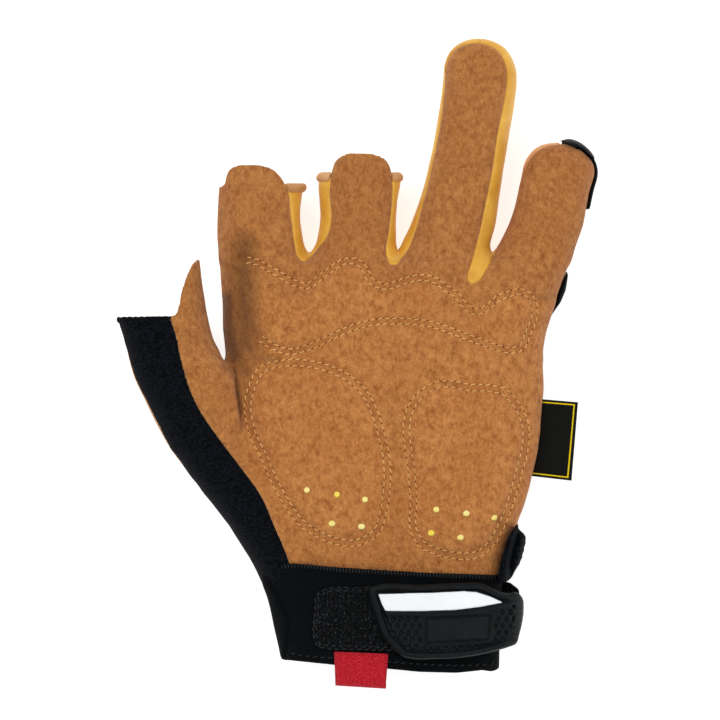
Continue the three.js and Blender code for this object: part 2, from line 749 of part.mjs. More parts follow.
// Palm suede with its raised pads and creases
function palmLeather() {
  let leather = SHELL.intersect(ZONES.palm);
  const raised = handSkin(PAD_RISE, CUT_PAST_END).subtract(INNER).intersect(ZONES.palm);
  for (const outline of Object.values(PADS)) {
    leather = leather.add(raised.intersect(prism(outline.map(palmPoint), -HIGH, HIGH)));
  }
  const cutFloor = handSkin(-CREASE_DEPTH, CUT_PAST_END);
  const above = handSkin(PAD_RISE * 2, CUT_PAST_END).subtract(cutFloor);
  for (const crease of CREASES) leather = leather.subtract(above.intersect(creaseStrip(crease)));
  return leather;
}

function creaseStrip(points) {
  const line = points.map(palmPoint);
  const side = (i, sign) => {
    const a = line[Math.max(i - 1, 0)];
    const b = line[Math.min(i + 1, line.length - 1)];
    const d = b.clone().sub(a).normalize();
    return line[i].clone().add(new THREE.Vector2(-d.y, d.x).multiplyScalar((sign * CREASE_WIDTH) / 2));
  };
  const right = line.map((_, i) => side(i, -1));
  const left = line.map((_, i) => side(i, 1)).reverse();
  const middle = PALM_SECTIONS[5].z;
  return prism([...right, ...left], middle, HIGH);
}

addPiece('palm_leather', palmLeather(), SUEDE, 0.95, 0);

const thumbLeather = SHELL.intersect(ZONES.thumb).subtract(CLEAR_ZONES.palm);
addPiece('thumb_leather', thumbLeather, SUEDE, 0.95, 0);
for (const name of FINGER_NAMES) {
  const leather = SHELL.intersect(ZONES[name]).intersect(column(name, 0)).subtract(CLEAR_ZONES.palm);
  addPiece(`${name}_leather`, leather, SUEDE, 0.95, 0);
}

// Yellow strips between the fingers
for (const fourchette of FOURCHETTES) {
  const { left, right } = fourchette;
  const clear = union([CLEAR_ZONES.palm, CLEAR_ZONES[left], CLEAR_ZONES[right]]);
  const strip = SHELL.intersect(fourchetteZone(fourchette, 0)).subtract(clear);
  addPiece(`fourchette_${left}_${right}`, strip, YELLOW, 0.55, 0);
}

// Everything above and below the sloping wrist seam
function seamSide(corners) {
  const seam = [[-1, 0.007], [-0.298, 0.007], [0.358, -0.03], [1, -0.03]];
  const points = [...seam, ...corners].map(([across, along]) => palmPoint({ across, along }));
  return prism(points, -HIGH, HIGH);
}
const aboveSeam = seamSide([[1, 1], [-1, 1]]);
const belowSeam = seamSide([[1, -0.9], [-1, -0.9]]).translate([0, -GAP, 0]);

// Knit panel on the outer side of the thumb
const sidePanel = SHELL.intersect(thumbSideZone(0)).intersect(aboveSeam)
  .subtract(CLEAR_ZONES.palm).subtract(CLEAR_ZONES.thumb);
addPiece('side_panel', sidePanel, KNIT, 0.95, 0);

// Knit back of the hand
function backZone(grow) {
  return prism(growOutline(BACK_OUTLINE.map(palmPoint), grow), -HIGH, HIGH);
}
const palmSideClear = union([CLEAR_ZONES.palm, CLEAR_ZONES.thumb, thumbSideZone(GAP)]);
const wideClear = union(FOURCHETTES.map((fourchette) => fourchetteZone(fourchette, GAP)));
const bindingClear = bindingZone(GAP);

function bindingZone(grow) {
  const outline = [
    { across: 0.2, along: -0.2 },
    { across: 0.6, along: -0.2 },
    { across: 0.6, along: 0.135 },
    { across: 0.2, along: 0.135 },
  ];
  return prism(growOutline(outline.map(palmPoint), grow), -HIGH, HIGH)
    .intersect(wideLayer(PALM_SECTIONS, BINDING_DEPTH, grow))
    .subtract(palmZone(grow > 0 ? 0 : GAP));
}

const fingerClear = union(FINGER_NAMES.map((name) => CLEAR_ZONES[name]));

const backPanel = SHELL.intersect(backZone(0)).subtract(palmSideClear).subtract(wideClear)
  .subtract(fingerClear).subtract(bindingClear).intersect(aboveSeam);
addPiece('back_panel', backPanel, KNIT, 0.95, 0);

const thumbBack = SHELL.intersect(thumbBackZone()).intersect(aboveSeam)
  .subtract(palmSideClear).subtract(backZone(GAP));
addPiece('thumb_back', thumbBack, TAN, 0.7, 0);

for (const name of FINGER_NAMES) {
  let back = SHELL.intersect(column(name, GAP / 2)).subtract(backZone(GAP)).subtract(palmSideClear);
  back = back.subtract(wideClear).subtract(fingerClear);
  if (OPEN_DIGITS.includes(name)) {
    const stop = fingerPoint(name, { along: BACK_END, across: 0 }).y;
    back = back.subtract(crossSlab(stop, stop + DIGITS[name].length));
  }
  addPiece(`${name}_back`, back, YELLOW, 0.6, 0);
}

// Padded roll beside the wrist slit, over the right side of the heel
const binding = handSkin(BINDING_RISE, 0).subtract(INNER).intersect(bindingZone(0)).intersect(aboveSeam);
addPiece('wrist_binding', binding, KNIT, 0.9, 0);

// Wrist tube below the seam
function cuffTube(grow, endMove) {
  return tube(CUFF_SECTIONS, grow, 0, endMove);
}

const cuffInside = tube(CUFF_SECTIONS, -CUFF_WALL, CUT_PAST_END, CUT_PAST_END);
const cuff = cuffTube(0, 0).subtract(cuffInside).intersect(belowSeam);
addPiece('cuff', cuff, KNIT, 0.9, 0);

// Bands that lie on the cuff between two heights above it
function cuffBand(points, low, high) {
  const outline = prism(points.map(cuffPoint), CUFF_HEIGHT + CUFF_THICK / 2, HIGH);
  return cuffTube(high, CUT_PAST_END).subtract(cuffTube(low, CUT_WELL_PAST_END)).intersect(outline);
}

const patch = cuffBand(PATCH_OUTLINE, GAP, GAP + PATCH_THICK);
addPiece('loop_patch', patch, KNIT, 1, 0);

// The strap follows the cuff but bulges past it on the little-finger side
const STRAP_CLEAR = PATCH_THICK + 2 * GAP;

function strapTube(grow, endMove) {
  const sections = CUFF_SECTIONS.map((section) => ({
    ...section,
    x: section.x + STRAP_BULGE / 2,
    a: section.a + STRAP_BULGE / 2 + STRAP_CLEAR,
    z: section.z + (STRAP_CLEAR - GAP) / 2,
    b: section.b + (STRAP_CLEAR + GAP) / 2,
  }));
  return tube(sections, grow, 0, endMove);
}

function strapBand(points, low, high, bottom) {
  const band = strapTube(high, CUT_PAST_END).subtract(strapTube(low, CUT_WELL_PAST_END));
  return band.intersect(prism(points.map(cuffPoint), bottom, HIGH));
}

const STRAP_SPLIT = CUFF_HEIGHT + CUFF_THICK * STRAP_DEPTH;
const plainTab = strapBand(TAB_OUTLINE, 0, TAB_THICK, STRAP_SPLIT);
const rimTab = strapBand(TAB_OUTLINE, 0, TAB_THICK + TAB_RIM, STRAP_SPLIT);
const innerOutline = growOutline(TAB_OUTLINE.map(cuffPoint), TAB_RIM_WIDTH);
const tabFloor = strapTube(TAB_THICK + 2 * TAB_RIM, CUT_PAST_END)
  .subtract(strapTube(TAB_THICK, CUT_WELL_PAST_END));
const tabField = tabFloor.intersect(prism(innerOutline, STRAP_SPLIT, HIGH));
const tabPlate = strapBand(PLATE_OUTLINE, 1, TAB_THICK + TAB_RIM, STRAP_SPLIT);
addPiece('closure_tab', plainTab.add(rimTab.subtract(tabField)).add(tabPlate), RUBBER, 0.45, 0);

const idPanel = strapBand(ID_OUTLINE, TAB_THICK + GAP, TAB_THICK + GAP + PANEL_THICK, STRAP_SPLIT);
addPiece('id_panel', idPanel, '#f3f4f8', 0.25, 0);

const STRAP_RIGHT = 0.8;
const strapPoints = [
  [STRAP_LEFT, STRAP_TO], [STRAP_LEFT, STRAP_FROM], [STRAP_RIGHT, STRAP_FROM], [STRAP_RIGHT, STRAP_TO],
];
const strapOutline = strapPoints.map(([across, along]) => cuffPoint({ across, along }));
const strap = strapTube(STRAP_THICK, CUT_PAST_END).subtract(strapTube(0, CUT_WELL_PAST_END))
  .intersect(prism(strapOutline, 0, STRAP_SPLIT - GAP));
addPiece('closure_strap', strap, KNIT, 0.95, 0);

// A layer that lies on the whole hand, a gap away from it
function skinLayer(thick) {
  return handSkin(GAP + thick, CUT_PAST_END).subtract(handSkin(GAP, CUT_WELL_PAST_END));
}

// Rolled hems round the backs of the open fingers
function hem(name) {
  const stop = fingerPoint(name, { along: BACK_END, across: 0 }).y;
  const roll = skinLayer(HEM_THICK).intersect(column(name, 0));
  return roll.intersect(crossSlab(stop - HEM_WIDTH, stop)).subtract(CLEAR_ZONES[name]);
}
addPiece('index_hem', hem('index'), TAN, 0.7, 0);
addPiece('middle_hem', hem('middle'), TAN, 0.7, 0);

// Moulded guards on the back, flat where the glove rests on them
const groundCorners = [[-3, -3], [3, -3], [3, 3], [-3, 3]];
const aboveGround = prism(groundCorners.map(([across, along]) => palmPoint({ across, along })), 0, HIGH);
const palmHalf = wideLayer(PALM_SECTIONS, SEAM_SHARE, 0);
const knuckleOutline = prism(GUARD_OUTLINE.map(palmPoint), -HIGH, HIGH);
const knuckleGuard = skinLayer(GUARD_THICK).intersect(knuckleOutline).subtract(palmHalf).intersect(aboveGround)
  .subtract(digitClear('thumb'));
addPiece('knuckle_guard', knuckleGuard, RUBBER, 0.5, 0);

function digitClear(name) {
  return tube(digitSections(name), GAP, 0, CUT_PAST_END);
}

function fingerGuard(name) {
  const { from, to, left, right, top } = FINGER_GUARDS[name];
  const steps = [from, (from + to) / 2, to];
  const points = [
    ...steps.map((along) => fingerPoint(name, { along, across: right })),
    ...steps.reverse().map((along) => fingerPoint(name, { along, across: left })),
  ];
  const below = prism(points, -HIGH, HIGH).subtract(wideLayer(digitSections(name), top, 0));
  return skinLayer(FINGER_GUARD_THICK).intersect(below).intersect(column(name, 0));
}
for (const name of FINGER_NAMES) {
  addPiece(`${name}_guard`, fingerGuard(name).subtract(knuckleOutline), RUBBER, 0.5, 0);
}

// Red webbing folded round the hem: one layer outside, one inside
function cuffTopAt(x, grow) {
  const section = CUFF_SECTIONS[CUFF_SECTIONS.length - 1];
  const a = section.a + grow;
  const share = Math.min(Math.abs(x - section.x) / a, 0.98);
  return section.z + (section.b + grow) * (1 - share ** section.power) ** (1 / section.power);
}

function pullTab() {
  const x = PULL_ACROSS * CUFF_WIDTH;
  const hemY = -CUFF_LENGTH;
  const outside = cuffTopAt(0, GAP);
  const edges = [x - PULL_WIDTH / 2, x + PULL_WIDTH / 2];
  const inside = Math.min(...edges.map((edge) => cuffTopAt(edge, -CUFF_WALL))) - GAP;
  const radius = (outside + PULL_THICK - (inside - PULL_THICK)) / 2;
  const centre = outside + PULL_THICK - radius;
  const turn = hemY - PULL_DROP + radius;
  const top = -PULL_TOP * CUFF_LENGTH;
  const shape = new THREE.Shape();
  shape.moveTo(top, outside + PULL_THICK);
  shape.lineTo(turn, outside + PULL_THICK);
  shape.absarc(turn, centre, radius, Math.PI / 2, (3 * Math.PI) / 2, false);
  shape.lineTo(top, inside - PULL_THICK);
  shape.lineTo(top, inside);
  shape.lineTo(turn, inside);
  shape.absarc(turn, centre, radius - PULL_THICK, (3 * Math.PI) / 2, Math.PI / 2, true);
  shape.lineTo(top, outside);
  shape.closePath();
  const geometry = new THREE.ExtrudeGeometry(shape, { depth: PULL_WIDTH, bevelEnabled: false, curveSegments: 5 });
  const sideways = new THREE.Matrix4().set(0, 0, 1, x - PULL_WIDTH / 2, 1, 0, 0, 0, 0, 1, 0, 0, 0, 0, 0, 1);
  return toSolid(geometry.applyMatrix4(sideways));
}
addPiece('pull_tab', pullTab(), '#b72835', 0.8, 0);

// Woven label held in the side seam
const labelSection = palmSection(rowAt(PALM_ROWS, LABEL_ALONG));
const LABEL_INSIDE = -4;
const labelCorners = [
  [LABEL_INSIDE, 0], [LABEL_REACH, 0], [LABEL_REACH, LABEL_LENGTH], [LABEL_INSIDE, LABEL_LENGTH],
];
const labelShape = labelCorners.map(
  ([x, y]) => new THREE.Vector2(x, y - LABEL_LENGTH / 2).rotateAround(
    new THREE.Vector2(), THREE.MathUtils.degToRad(LABEL_TILT),
  ).add(new THREE.Vector2(labelSection.x + labelSection.a, labelSection.y)),
);
const labelLow = labelSection.z - LABEL_THICK / 2;
const label = prism(labelShape, labelLow, labelLow + LABEL_THICK).subtract(CLEAR);
addPiece('side_label', label, '#141412', 0.7, 0);

group.updateMatrixWorld(true);
const box = new THREE.Box3().setFromObject(group);
const middle = box.getCenter(new THREE.Vector3());
group.position.set(-middle.x, -middle.y, -box.min.z);

export default group;
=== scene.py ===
"""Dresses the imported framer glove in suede, yellow leather, knit, rubber and stitching.

Soft shapes are worked out as distance fields in millimetres and meshed with OpenVDB.
Places in the plan are pixels of the reference photograph, x to the right and y downwards,
and plan() turns them into the frame. Heights are millimetres above the floor.
"""
import math

import bpy
import numpy as np
import openvdb as vdb
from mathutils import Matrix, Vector
from mathutils.bvhtree import BVHTree


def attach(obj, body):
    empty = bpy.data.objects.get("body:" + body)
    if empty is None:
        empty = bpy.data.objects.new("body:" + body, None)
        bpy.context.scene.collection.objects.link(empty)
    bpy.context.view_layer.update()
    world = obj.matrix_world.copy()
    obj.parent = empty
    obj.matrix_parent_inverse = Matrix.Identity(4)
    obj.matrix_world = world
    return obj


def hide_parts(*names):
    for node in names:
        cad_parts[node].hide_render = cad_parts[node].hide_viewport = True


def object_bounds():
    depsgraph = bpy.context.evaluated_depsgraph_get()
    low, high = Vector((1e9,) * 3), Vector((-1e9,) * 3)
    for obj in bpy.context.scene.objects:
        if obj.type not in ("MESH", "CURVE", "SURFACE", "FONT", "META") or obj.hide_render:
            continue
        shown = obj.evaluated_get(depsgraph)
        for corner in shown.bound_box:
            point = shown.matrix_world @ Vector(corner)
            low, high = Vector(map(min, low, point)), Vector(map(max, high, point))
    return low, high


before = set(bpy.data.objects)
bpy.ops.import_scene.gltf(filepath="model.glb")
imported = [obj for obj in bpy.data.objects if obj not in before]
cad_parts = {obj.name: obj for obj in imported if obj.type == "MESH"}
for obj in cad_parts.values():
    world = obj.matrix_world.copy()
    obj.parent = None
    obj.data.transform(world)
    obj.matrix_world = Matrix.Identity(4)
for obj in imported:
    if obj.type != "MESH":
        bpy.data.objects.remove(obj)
cad_low, cad_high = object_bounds()

# The photograph's scale and the pixel that lies over the frame's origin
MM = 0.001
GLOVE_WIDTH_PX = 481.3
PIXEL = (cad_high.x - cad_low.x) / MM / GLOVE_WIDTH_PX
ORIGIN_X = 359.45
ORIGIN_Y = 362.9
PICTURE = 720

# In mm: steps of the sampled blocks, spare room round a piece, rounding of thin edges,
# and what counts as far and as next to nothing
STEP = 0.8
CUFF_STEP = 0.7
FINE_STEP = 0.35
MARGIN = 2
EDGE_ROUND = 0.5
FAR = 30.0
SPECK = 1e-9

# Layers: suede, what lies under it, how far that dips and reaches under the suede, and the pads
SUEDE = 1.6
UNDER = 1.3
UNDER_DROP = 0.3
TUCK = 1.75
TUCK_REACH = 3.0
PAD_RISE = 1.1
ROW_GAP = 2.3
CUFF_WALL = 2.4

# Roundness of the sections: 2 is an ellipse, and more is nearer to a box
PALM_ROUND = 2.7
DIGIT_ROUND = 2.3
CUFF_ROUND = 2.6

# Sections: row in the photograph, left and right edge there, and lowest and highest point in mm
PALM = [
    (606, 270, 502, 4.0, 35.6), (592, 266, 503, 4.0, 36.4), (566, 258, 506, 4.0, 37.4),
    (548, 250, 510, 4.0, 38.7), (526, 243, 516, 4.0, 40.0), (500, 235, 525, 4.0, 40.7),
    (450, 228, 537, 4.0, 40.0),
    (396, 226, 543, 4.0, 37.6), (353, 225.5, 542.5, 4.0, 36.4), (335, 227, 543, 4.15, 36.0),
    (323, 229, 544, 4.3, 35.6), (292, 237, 548, 4.7, 34.4), (257, 240, 552, 5.4, 32.8),
]
INDEX = [
    (352, 240, 306, 4.4, 31.0), (330, 227, 306, 4.4, 31.0), (310, 223, 306, 4.5, 31.0),
    (290, 220.5, 306, 4.6, 31.0), (262, 218.5, 307, 5.2, 31.2),
    (240, 216, 304, 5.8, 31.2), (216, 216, 301, 6.2, 30.6), (196, 217, 303, 6.4, 30.2),
    (184, 218, 305, 6.6, 30.0), (160, 222, 300, 7.4, 29.4), (148, 226, 296, 7.8, 29.0),
]
MIDDLE = [
    (330, 308, 400, 4.4, 31.4), (290, 309, 400, 4.6, 31.4), (260, 311, 397.5, 5.2, 31.6),
    (240, 316, 397, 5.8, 31.2), (216, 319.5, 397, 6.3, 30.6), (200, 318.5, 398, 6.4, 30.3),
    (180, 318, 401.5, 6.7, 30.0), (160, 325, 396, 7.4, 29.4), (140, 330, 390, 8.0, 28.6),
]
RING = [
    (330, 404, 499, 4.4, 31.4), (290, 402, 497, 4.6, 31.4), (262, 398, 491, 5.2, 31.2),
    (246, 400, 491, 5.5, 30.8), (226, 409, 496, 5.8, 30.0), (196, 420, 500.5, 6.2, 29.6),
    (166, 428, 505, 6.5, 29.3), (136, 434, 510, 6.9, 29.3), (106, 439, 515, 7.8, 29.3),
    (80, 442, 517.5, 8.9, 29.2), (56, 442.5, 516, 10.4, 29.2), (30, 442, 514, 12.0, 29.2),
]
PINKY = [
    (350, 468, 532, 4.4, 31.0), (322, 472, 545.5, 4.4, 30.8), (304, 476, 554, 4.5, 30.5),
    (286, 482, 560, 4.6, 30.2),
    (262, 490, 570, 5.0, 29.6), (246, 497, 576, 5.6, 29.2), (226, 507, 583, 6.2, 29.0),
    (206, 514, 586.5, 6.9, 28.9), (190, 517.5, 590, 7.5, 28.8), (176, 520.5, 594, 8.2, 28.8),
    (156, 521, 595, 9.6, 28.8), (130, 521, 595, 11.0, 28.8),
]
THUMB = [
    (606, 272, 322, 5.0, 33.0), (584, 263, 320, 5.0, 34.0), (566, 254, 318, 5.0, 35.4),
    (540, 238, 308, 5.0, 36.6),
    (511, 217, 290, 5.0, 37.0), (481, 193, 272, 5.5, 37.2), (450, 170, 254, 6.5, 37.6),
    (424, 155, 254, 7.6, 38.4), (400, 143.5, 251, 8.6, 38.8), (380, 134, 243, 9.5, 38.8),
    (362, 128.5, 228, 10.6, 38.6), (341, 124, 214, 12.0, 38.2), (316, 117.5, 208, 13.2, 38.0),
    (289, 126, 203.5, 14.2, 37.6), (256, 140, 199, 15.5, 37.0),
]
CUFF = [
    (560, 263, 501, 3.6, 39.9), (580, 262.5, 502, 2.8, 40.6), (596, 267.5, 500.5, 2.7, 40.7),
    (616, 272.5, 499.5, 2.7, 40.7), (640, 277.5, 499.5, 2.7, 40.7), (674, 284.5, 499, 2.7, 40.7),
]

# Closed ends: the row where the rounding starts, its length in pixels and its roundness
PALM_CAP = (272, 16, 2.7)
RING_CAP = (75, 37, 2.2)
PINKY_CAP = (176, 34.5, 2.1)

# How softly each digit runs into the palm; the thumb's goes by the row
FINGER_BLEND = 6.0
THUMB_BLEND = [
    (330, 0.6), (400, 0.8), (426, 1.6), (446, 6.0), (470, 12.0), (500, 9.0), (530, 4.0), (606, 2.5),
]

# The thumb's suede ends in a fold over the palm along this line, down to the last rows
THUMB_FOLD = [
    (222, 330), (224, 360), (230, 365), (234, 373), (235.5, 388), (238, 404), (241, 424), (246, 450),
]
FOLD_CLOSE = [(300, 450), (300, 330)]
FOLD_END = (428, 448)
FOLD_ROUND = 1.2

# Edges of the palm suede, followed once round the glove from the wrist up the thumb side
SIDE_PANEL_EDGE = [
    (290, 565), (282, 544), (275, 528), (261, 496), (238, 464), (214, 432), (194, 400),
    (182, 364), (176, 337), (172, 324),
]
THUMB_TONGUE = [
    (170.5, 316), (176.5, 314), (179, 306), (181, 296), (183.5, 286), (188, 274), (193, 264), (200, 257.5),
]
THUMB_NOTCH = (206, 254)
INDEX_TONGUE = [
    (208, 240), (208, 200), (216, 188), (224, 185), (226.5, 176), (229.5, 169.5), (237, 165.8), (250, 165),
    (263, 166), (273, 169.5), (280, 176), (285.5, 185), (289, 195), (290, 208),
]
FORK_ONE = [(290, 208), (292, 224), (294.5, 244), (297.5, 257), (304, 262), (311, 257), (319, 247)]
MIDDLE_TONGUE = [
    (319, 247), (326, 239), (330.5, 226), (330, 192), (331.5, 173), (335.5, 161), (345, 154.5),
    (361, 153.2), (374, 154.5), (384, 158.5), (390, 167), (392, 178), (391.5, 206),
]
FORK_TWO = [(391.5, 206), (389, 230), (386.5, 256), (390, 264.5), (396, 265), (402, 258), (409, 248)]
RING_EDGE = [
    (409, 248), (415, 232), (424, 200), (435, 152), (441, 120), (444.5, 88), (446, 68), (451, 55),
    (461, 46.5), (474, 43.5), (488, 45.5), (499, 52.5), (505, 64), (507, 76), (504.5, 98),
    (497, 136), (492.5, 168), (484.5, 208), (478, 238), (470, 266),
]
FORK_THREE = [(470, 266), (467, 279), (471, 284.5), (478.5, 281), (487, 268), (494.5, 254)]
PINKY_EDGE = [
    (494.5, 254), (503, 236), (511.5, 216), (517, 196), (520.5, 180), (525.5, 166), (534, 154),
    (543, 148), (551, 145.5), (562, 145),
]
LITTLE_SIDE = [(572, 147.5), (581, 150), (592, 160), (606, 172), (640, 190), (640, 500), (540, 524)]
WRIST_SIDE = [(519, 526), (510, 536), (504, 552), (500, 568), (499, 578)]
WRIST_EDGE = [(499, 578), (420, 574.5), (337, 569), (290, 565)]

# Stitched edges of the palm's pads
KNUCKLE_PAD = [
    (246, 257), (256, 259), (266, 264), (279, 271), (292, 279), (308, 283), (319, 275),
    (330, 267), (344, 259), (359, 260), (367, 268), (373, 279), (385, 284), (402, 279),
    (420, 275), (436, 278), (447, 286), (459, 294), (466, 303), (474, 309), (483, 307),
    (495, 297), (509, 291), (520, 289), (530, 293), (536, 303), (537, 315), (531, 332),
    (522, 350), (512, 353), (495, 350), (478, 344), (454, 335), (430, 327), (396, 324),
    (375, 325), (355, 330), (334, 339), (312, 349), (290, 354.5), (272, 349), (258, 340),
]
KNUCKLE_PAD_BACK = [(258, 340), (244, 326), (238, 306), (236, 284), (238, 266), (246, 257)]
LEFT_PAD = [
    (259, 368), (249, 386), (245, 402), (247, 424), (252, 440), (261, 457), (268, 474),
    (281, 499), (298, 523), (318, 537), (335, 543.5), (350, 546), (366, 542.5), (379, 533),
    (386, 513), (390, 487), (390, 463), (385, 436), (377, 410), (367, 391), (352, 377),
    (336, 368), (312, 361), (284, 360),
]
RIGHT_PAD = [
    (405, 414), (403, 429), (405, 450), (408, 471), (410, 500), (411, 532), (420, 546),
    (436, 554), (450, 557.5), (464, 559), (480, 556), (493, 545), (505, 524), (514, 500),
    (522, 471), (528, 446), (528, 425), (520, 405), (504, 388.5), (489, 385), (468, 384),
    (449, 380.5), (436, 382), (421, 390), (410, 402),
]


def plan(points):
    """Places in the photograph as millimetres in the frame."""
    return np.array([((x - ORIGIN_X) * PIXEL, (ORIGIN_Y - y) * PIXEL) for x, y in points])


def row_y(row):
    return (ORIGIN_Y - row) * PIXEL


def column_x(column):
    return (column - ORIGIN_X) * PIXEL


def smooth_at(places, values, at):
    """A smooth curve through the values, read at other places."""
    slopes = np.gradient(values, places)
    gaps = np.diff(places)
    i = np.clip(np.searchsorted(places, at) - 1, 0, len(gaps) - 1)
    t = np.clip((at - places[i]) / gaps[i], 0, 1)
    first = (1 + 2 * t) * (1 - t) ** 2 * values[i] + t * (1 - t) ** 2 * gaps[i] * slopes[i]
    second = t * t * (3 - 2 * t) * values[i + 1] + t * t * (t - 1) * gaps[i] * slopes[i + 1]
    return first + second


def curve(points, step=1.2, closed=False):
    """A smooth line in the plan through places of the photograph, with a point every step."""
    given = list(points)
    spare = 3 if closed else 0
    if closed:
        given = given[-spare:] + given + given[:spare]
    p = plan(given)
    along = np.concatenate([[0.0], np.cumsum(np.hypot(*np.diff(p, axis=0).T))])
    start, end = along[spare], along[len(given) - 1 - spare]
    if closed:
        end = along[len(given) - spare]
    count = max(2, int(round((end - start) / step)) + 1)
    at = np.linspace(start, end, count, endpoint=not closed)
    return np.stack([smooth_at(along, p[:, i], at) for i in (0, 1)], axis=1)


def line_distance(line, x, y, closed=False):
    """Distance in the plan to a line, negative inside a closed one."""
    x, y = np.broadcast_arrays(x, y)
    nearest = np.full(x.shape, np.inf)
    inside = np.zeros(x.shape, bool)
    ends = np.roll(line, -1, axis=0) if closed else line[1:]
    for (ax, ay), (bx, by) in zip(line, ends):
        dx, dy = bx - ax, by - ay
        t = np.clip(((x - ax) * dx + (y - ay) * dy) / (dx * dx + dy * dy + SPECK), 0, 1)
        nearest = np.minimum(nearest, (x - ax - t * dx) ** 2 + (y - ay - t * dy) ** 2)
        if closed and ay != by:
            inside ^= ((ay > y) != (by > y)) & (x < (y - ay) * dx / dy + ax)
    distance = np.sqrt(nearest)
    return np.where(inside, -distance, distance) if closed else distance


def blend_min(a, b, k):
    h = np.maximum(k - np.abs(a - b), 0) / k
    return np.minimum(a, b) - h * h * k / 4


def blend_max(a, b, k):
    return -blend_min(-a, -b, k)


def ease(low, high, value):
    """0 below low, 1 above high and smooth between; low may be the larger."""
    t = np.clip((value - low) / (high - low), 0, 1)
    return t * t * (3 - 2 * t)


def by_row(rows, y):
    """0 at one row of the photograph, 1 at another and smooth between."""
    return ease(row_y(rows[0]), row_y(rows[1]), y)


def by_column(columns, x):
    """0 at one column of the photograph, 1 at another and smooth between."""
    return ease(column_x(columns[0]), column_x(columns[1]), x)


def near(distance, width):
    """1 on a line, with a soft fall on both sides of it."""
    return np.exp(-(distance / width) ** 2)


def ripple(at, pitch):
    """An even wave between -1 and 1."""
    return np.sin(at * 2 * math.pi / pitch)


class Block:
    """A box of space sampled at an even step."""

    def __init__(self, low, high, step):
        self.low = np.array(low, float)
        self.step = step
        count = np.ceil((np.array(high) - self.low) / step).astype(int) + 1
        axes = [self.low[i] + step * np.arange(count[i]) for i in range(3)]
        self.x = axes[0][:, None, None].astype(np.float32)
        self.y = axes[1][None, :, None].astype(np.float32)
        self.z = axes[2][None, None, :].astype(np.float32)
        self.shape = tuple(count)

    def cut(self, low, high):
        """Slices and a smaller block for the part between two corners."""
        first = np.maximum(((np.array(low) - self.low) / self.step).astype(int), 0)
        last = np.minimum(np.ceil((np.array(high) - self.low) / self.step).astype(int) + 1, self.shape)
        part = Block.__new__(Block)
        part.low = self.low + first * self.step
        part.step = self.step
        part.x = self.x[first[0]:last[0]]
        part.y = self.y[:, first[1]:last[1]]
        part.z = self.z[:, :, first[2]:last[2]]
        part.shape = tuple(last - first)
        return tuple(slice(a, b) for a, b in zip(first, last)), part

    def from_line(self, line, closed=False):
        """Distance in the plan to a line, for each upright column of the block."""
        return line_distance(line, self.x[:, :, 0], self.y[:, :, 0], closed)[:, :, None]


LEAST_REACH = 1e-4
LEAST_SLOPE = 0.01


def tube(block, rows, power, cap=None, grow=(0, 0, 0, 0)):
    """Distance to a tube through sections that lie across the glove; it may have a closed end."""
    table = np.array(sorted(rows, key=lambda row: -row[0]), float)
    ys = row_y(table[:, 0])
    y = np.clip(block.y.ravel(), ys[0], ys[-1])
    edges = [column_x(table[:, 1]), column_x(table[:, 2]), table[:, 3], table[:, 4]]
    left, right, low, high = (
        (smooth_at(ys, edge, y) + extra)[None, :, None].astype(np.float32)
        for edge, extra in zip(edges, grow)
    )
    reach = np.abs((block.x - (left + right) / 2) * 2 / (right - left)) ** power
    reach = reach + np.abs((block.z - (low + high) / 2) * 2 / (high - low)) ** power
    if cap:
        start, length, cap_power = cap
        past = np.maximum(block.y - row_y(start), 0) / (length * PIXEL)
        reach = reach ** (cap_power / power) + past ** cap_power
        power = cap_power
    reach = np.maximum(reach, LEAST_REACH) ** (1 / power)
    slope = np.sqrt(sum(g * g for g in np.gradient(reach, block.step)))
    distance = (reach - 1) / np.maximum(slope, LEAST_SLOPE)
    beyond = np.maximum(ys[0] - block.y, block.y - ys[-1])
    return np.maximum(np.clip(distance, -FAR, FAR), beyond).astype(np.float32)


def past_fold(x, y):
    """Distance from the thumb's fold, negative on the palm's side of it."""
    return line_distance(np.concatenate([curve(THUMB_FOLD), plan(FOLD_CLOSE)]), x, y, closed=True)


def hand_field(block):
    """Distance to the outside of the whole hand."""
    palm = tube(block, PALM, PALM_ROUND, PALM_CAP)
    whole = palm
    for rows, cap in ((INDEX, None), (MIDDLE, None), (RING, RING_CAP), (PINKY, PINKY_CAP)):
        finger = tube(block, rows, DIGIT_ROUND, cap)
        whole = np.minimum(whole, blend_min(palm, finger, FINGER_BLEND))
    thumb = tube(block, THUMB, DIGIT_ROUND)
    beyond = -past_fold(block.x, block.y) - FAR * by_row(FOLD_END, block.y)
    thumb = blend_max(thumb, beyond.astype(np.float32), FOLD_ROUND)
    softness = np.array(sorted(THUMB_BLEND, key=lambda row: -row[0]), float)
    k = np.interp(block.y.ravel(), row_y(softness[:, 0]), softness[:, 1])
    return np.minimum(whole, blend_min(palm, thumb, k[None, :, None].astype(np.float32)))


WAVE_SPREAD = (0.7, 1.5)


def waves(x, y, length, seed, count=10):
    """A smooth random surface between about -1 and 1, with bumps about length across."""
    random = np.random.default_rng(seed)
    total = np.zeros(np.broadcast(x, y).shape)
    for _ in range(count):
        angle = random.uniform(0, 2 * math.pi)
        pace = 2 * math.pi / (length * random.uniform(*WAVE_SPREAD))
        shift = random.uniform(0, 2 * math.pi)
        total += np.sin((x * math.cos(angle) + y * math.sin(angle)) * pace + shift)
    return total / math.sqrt(count)


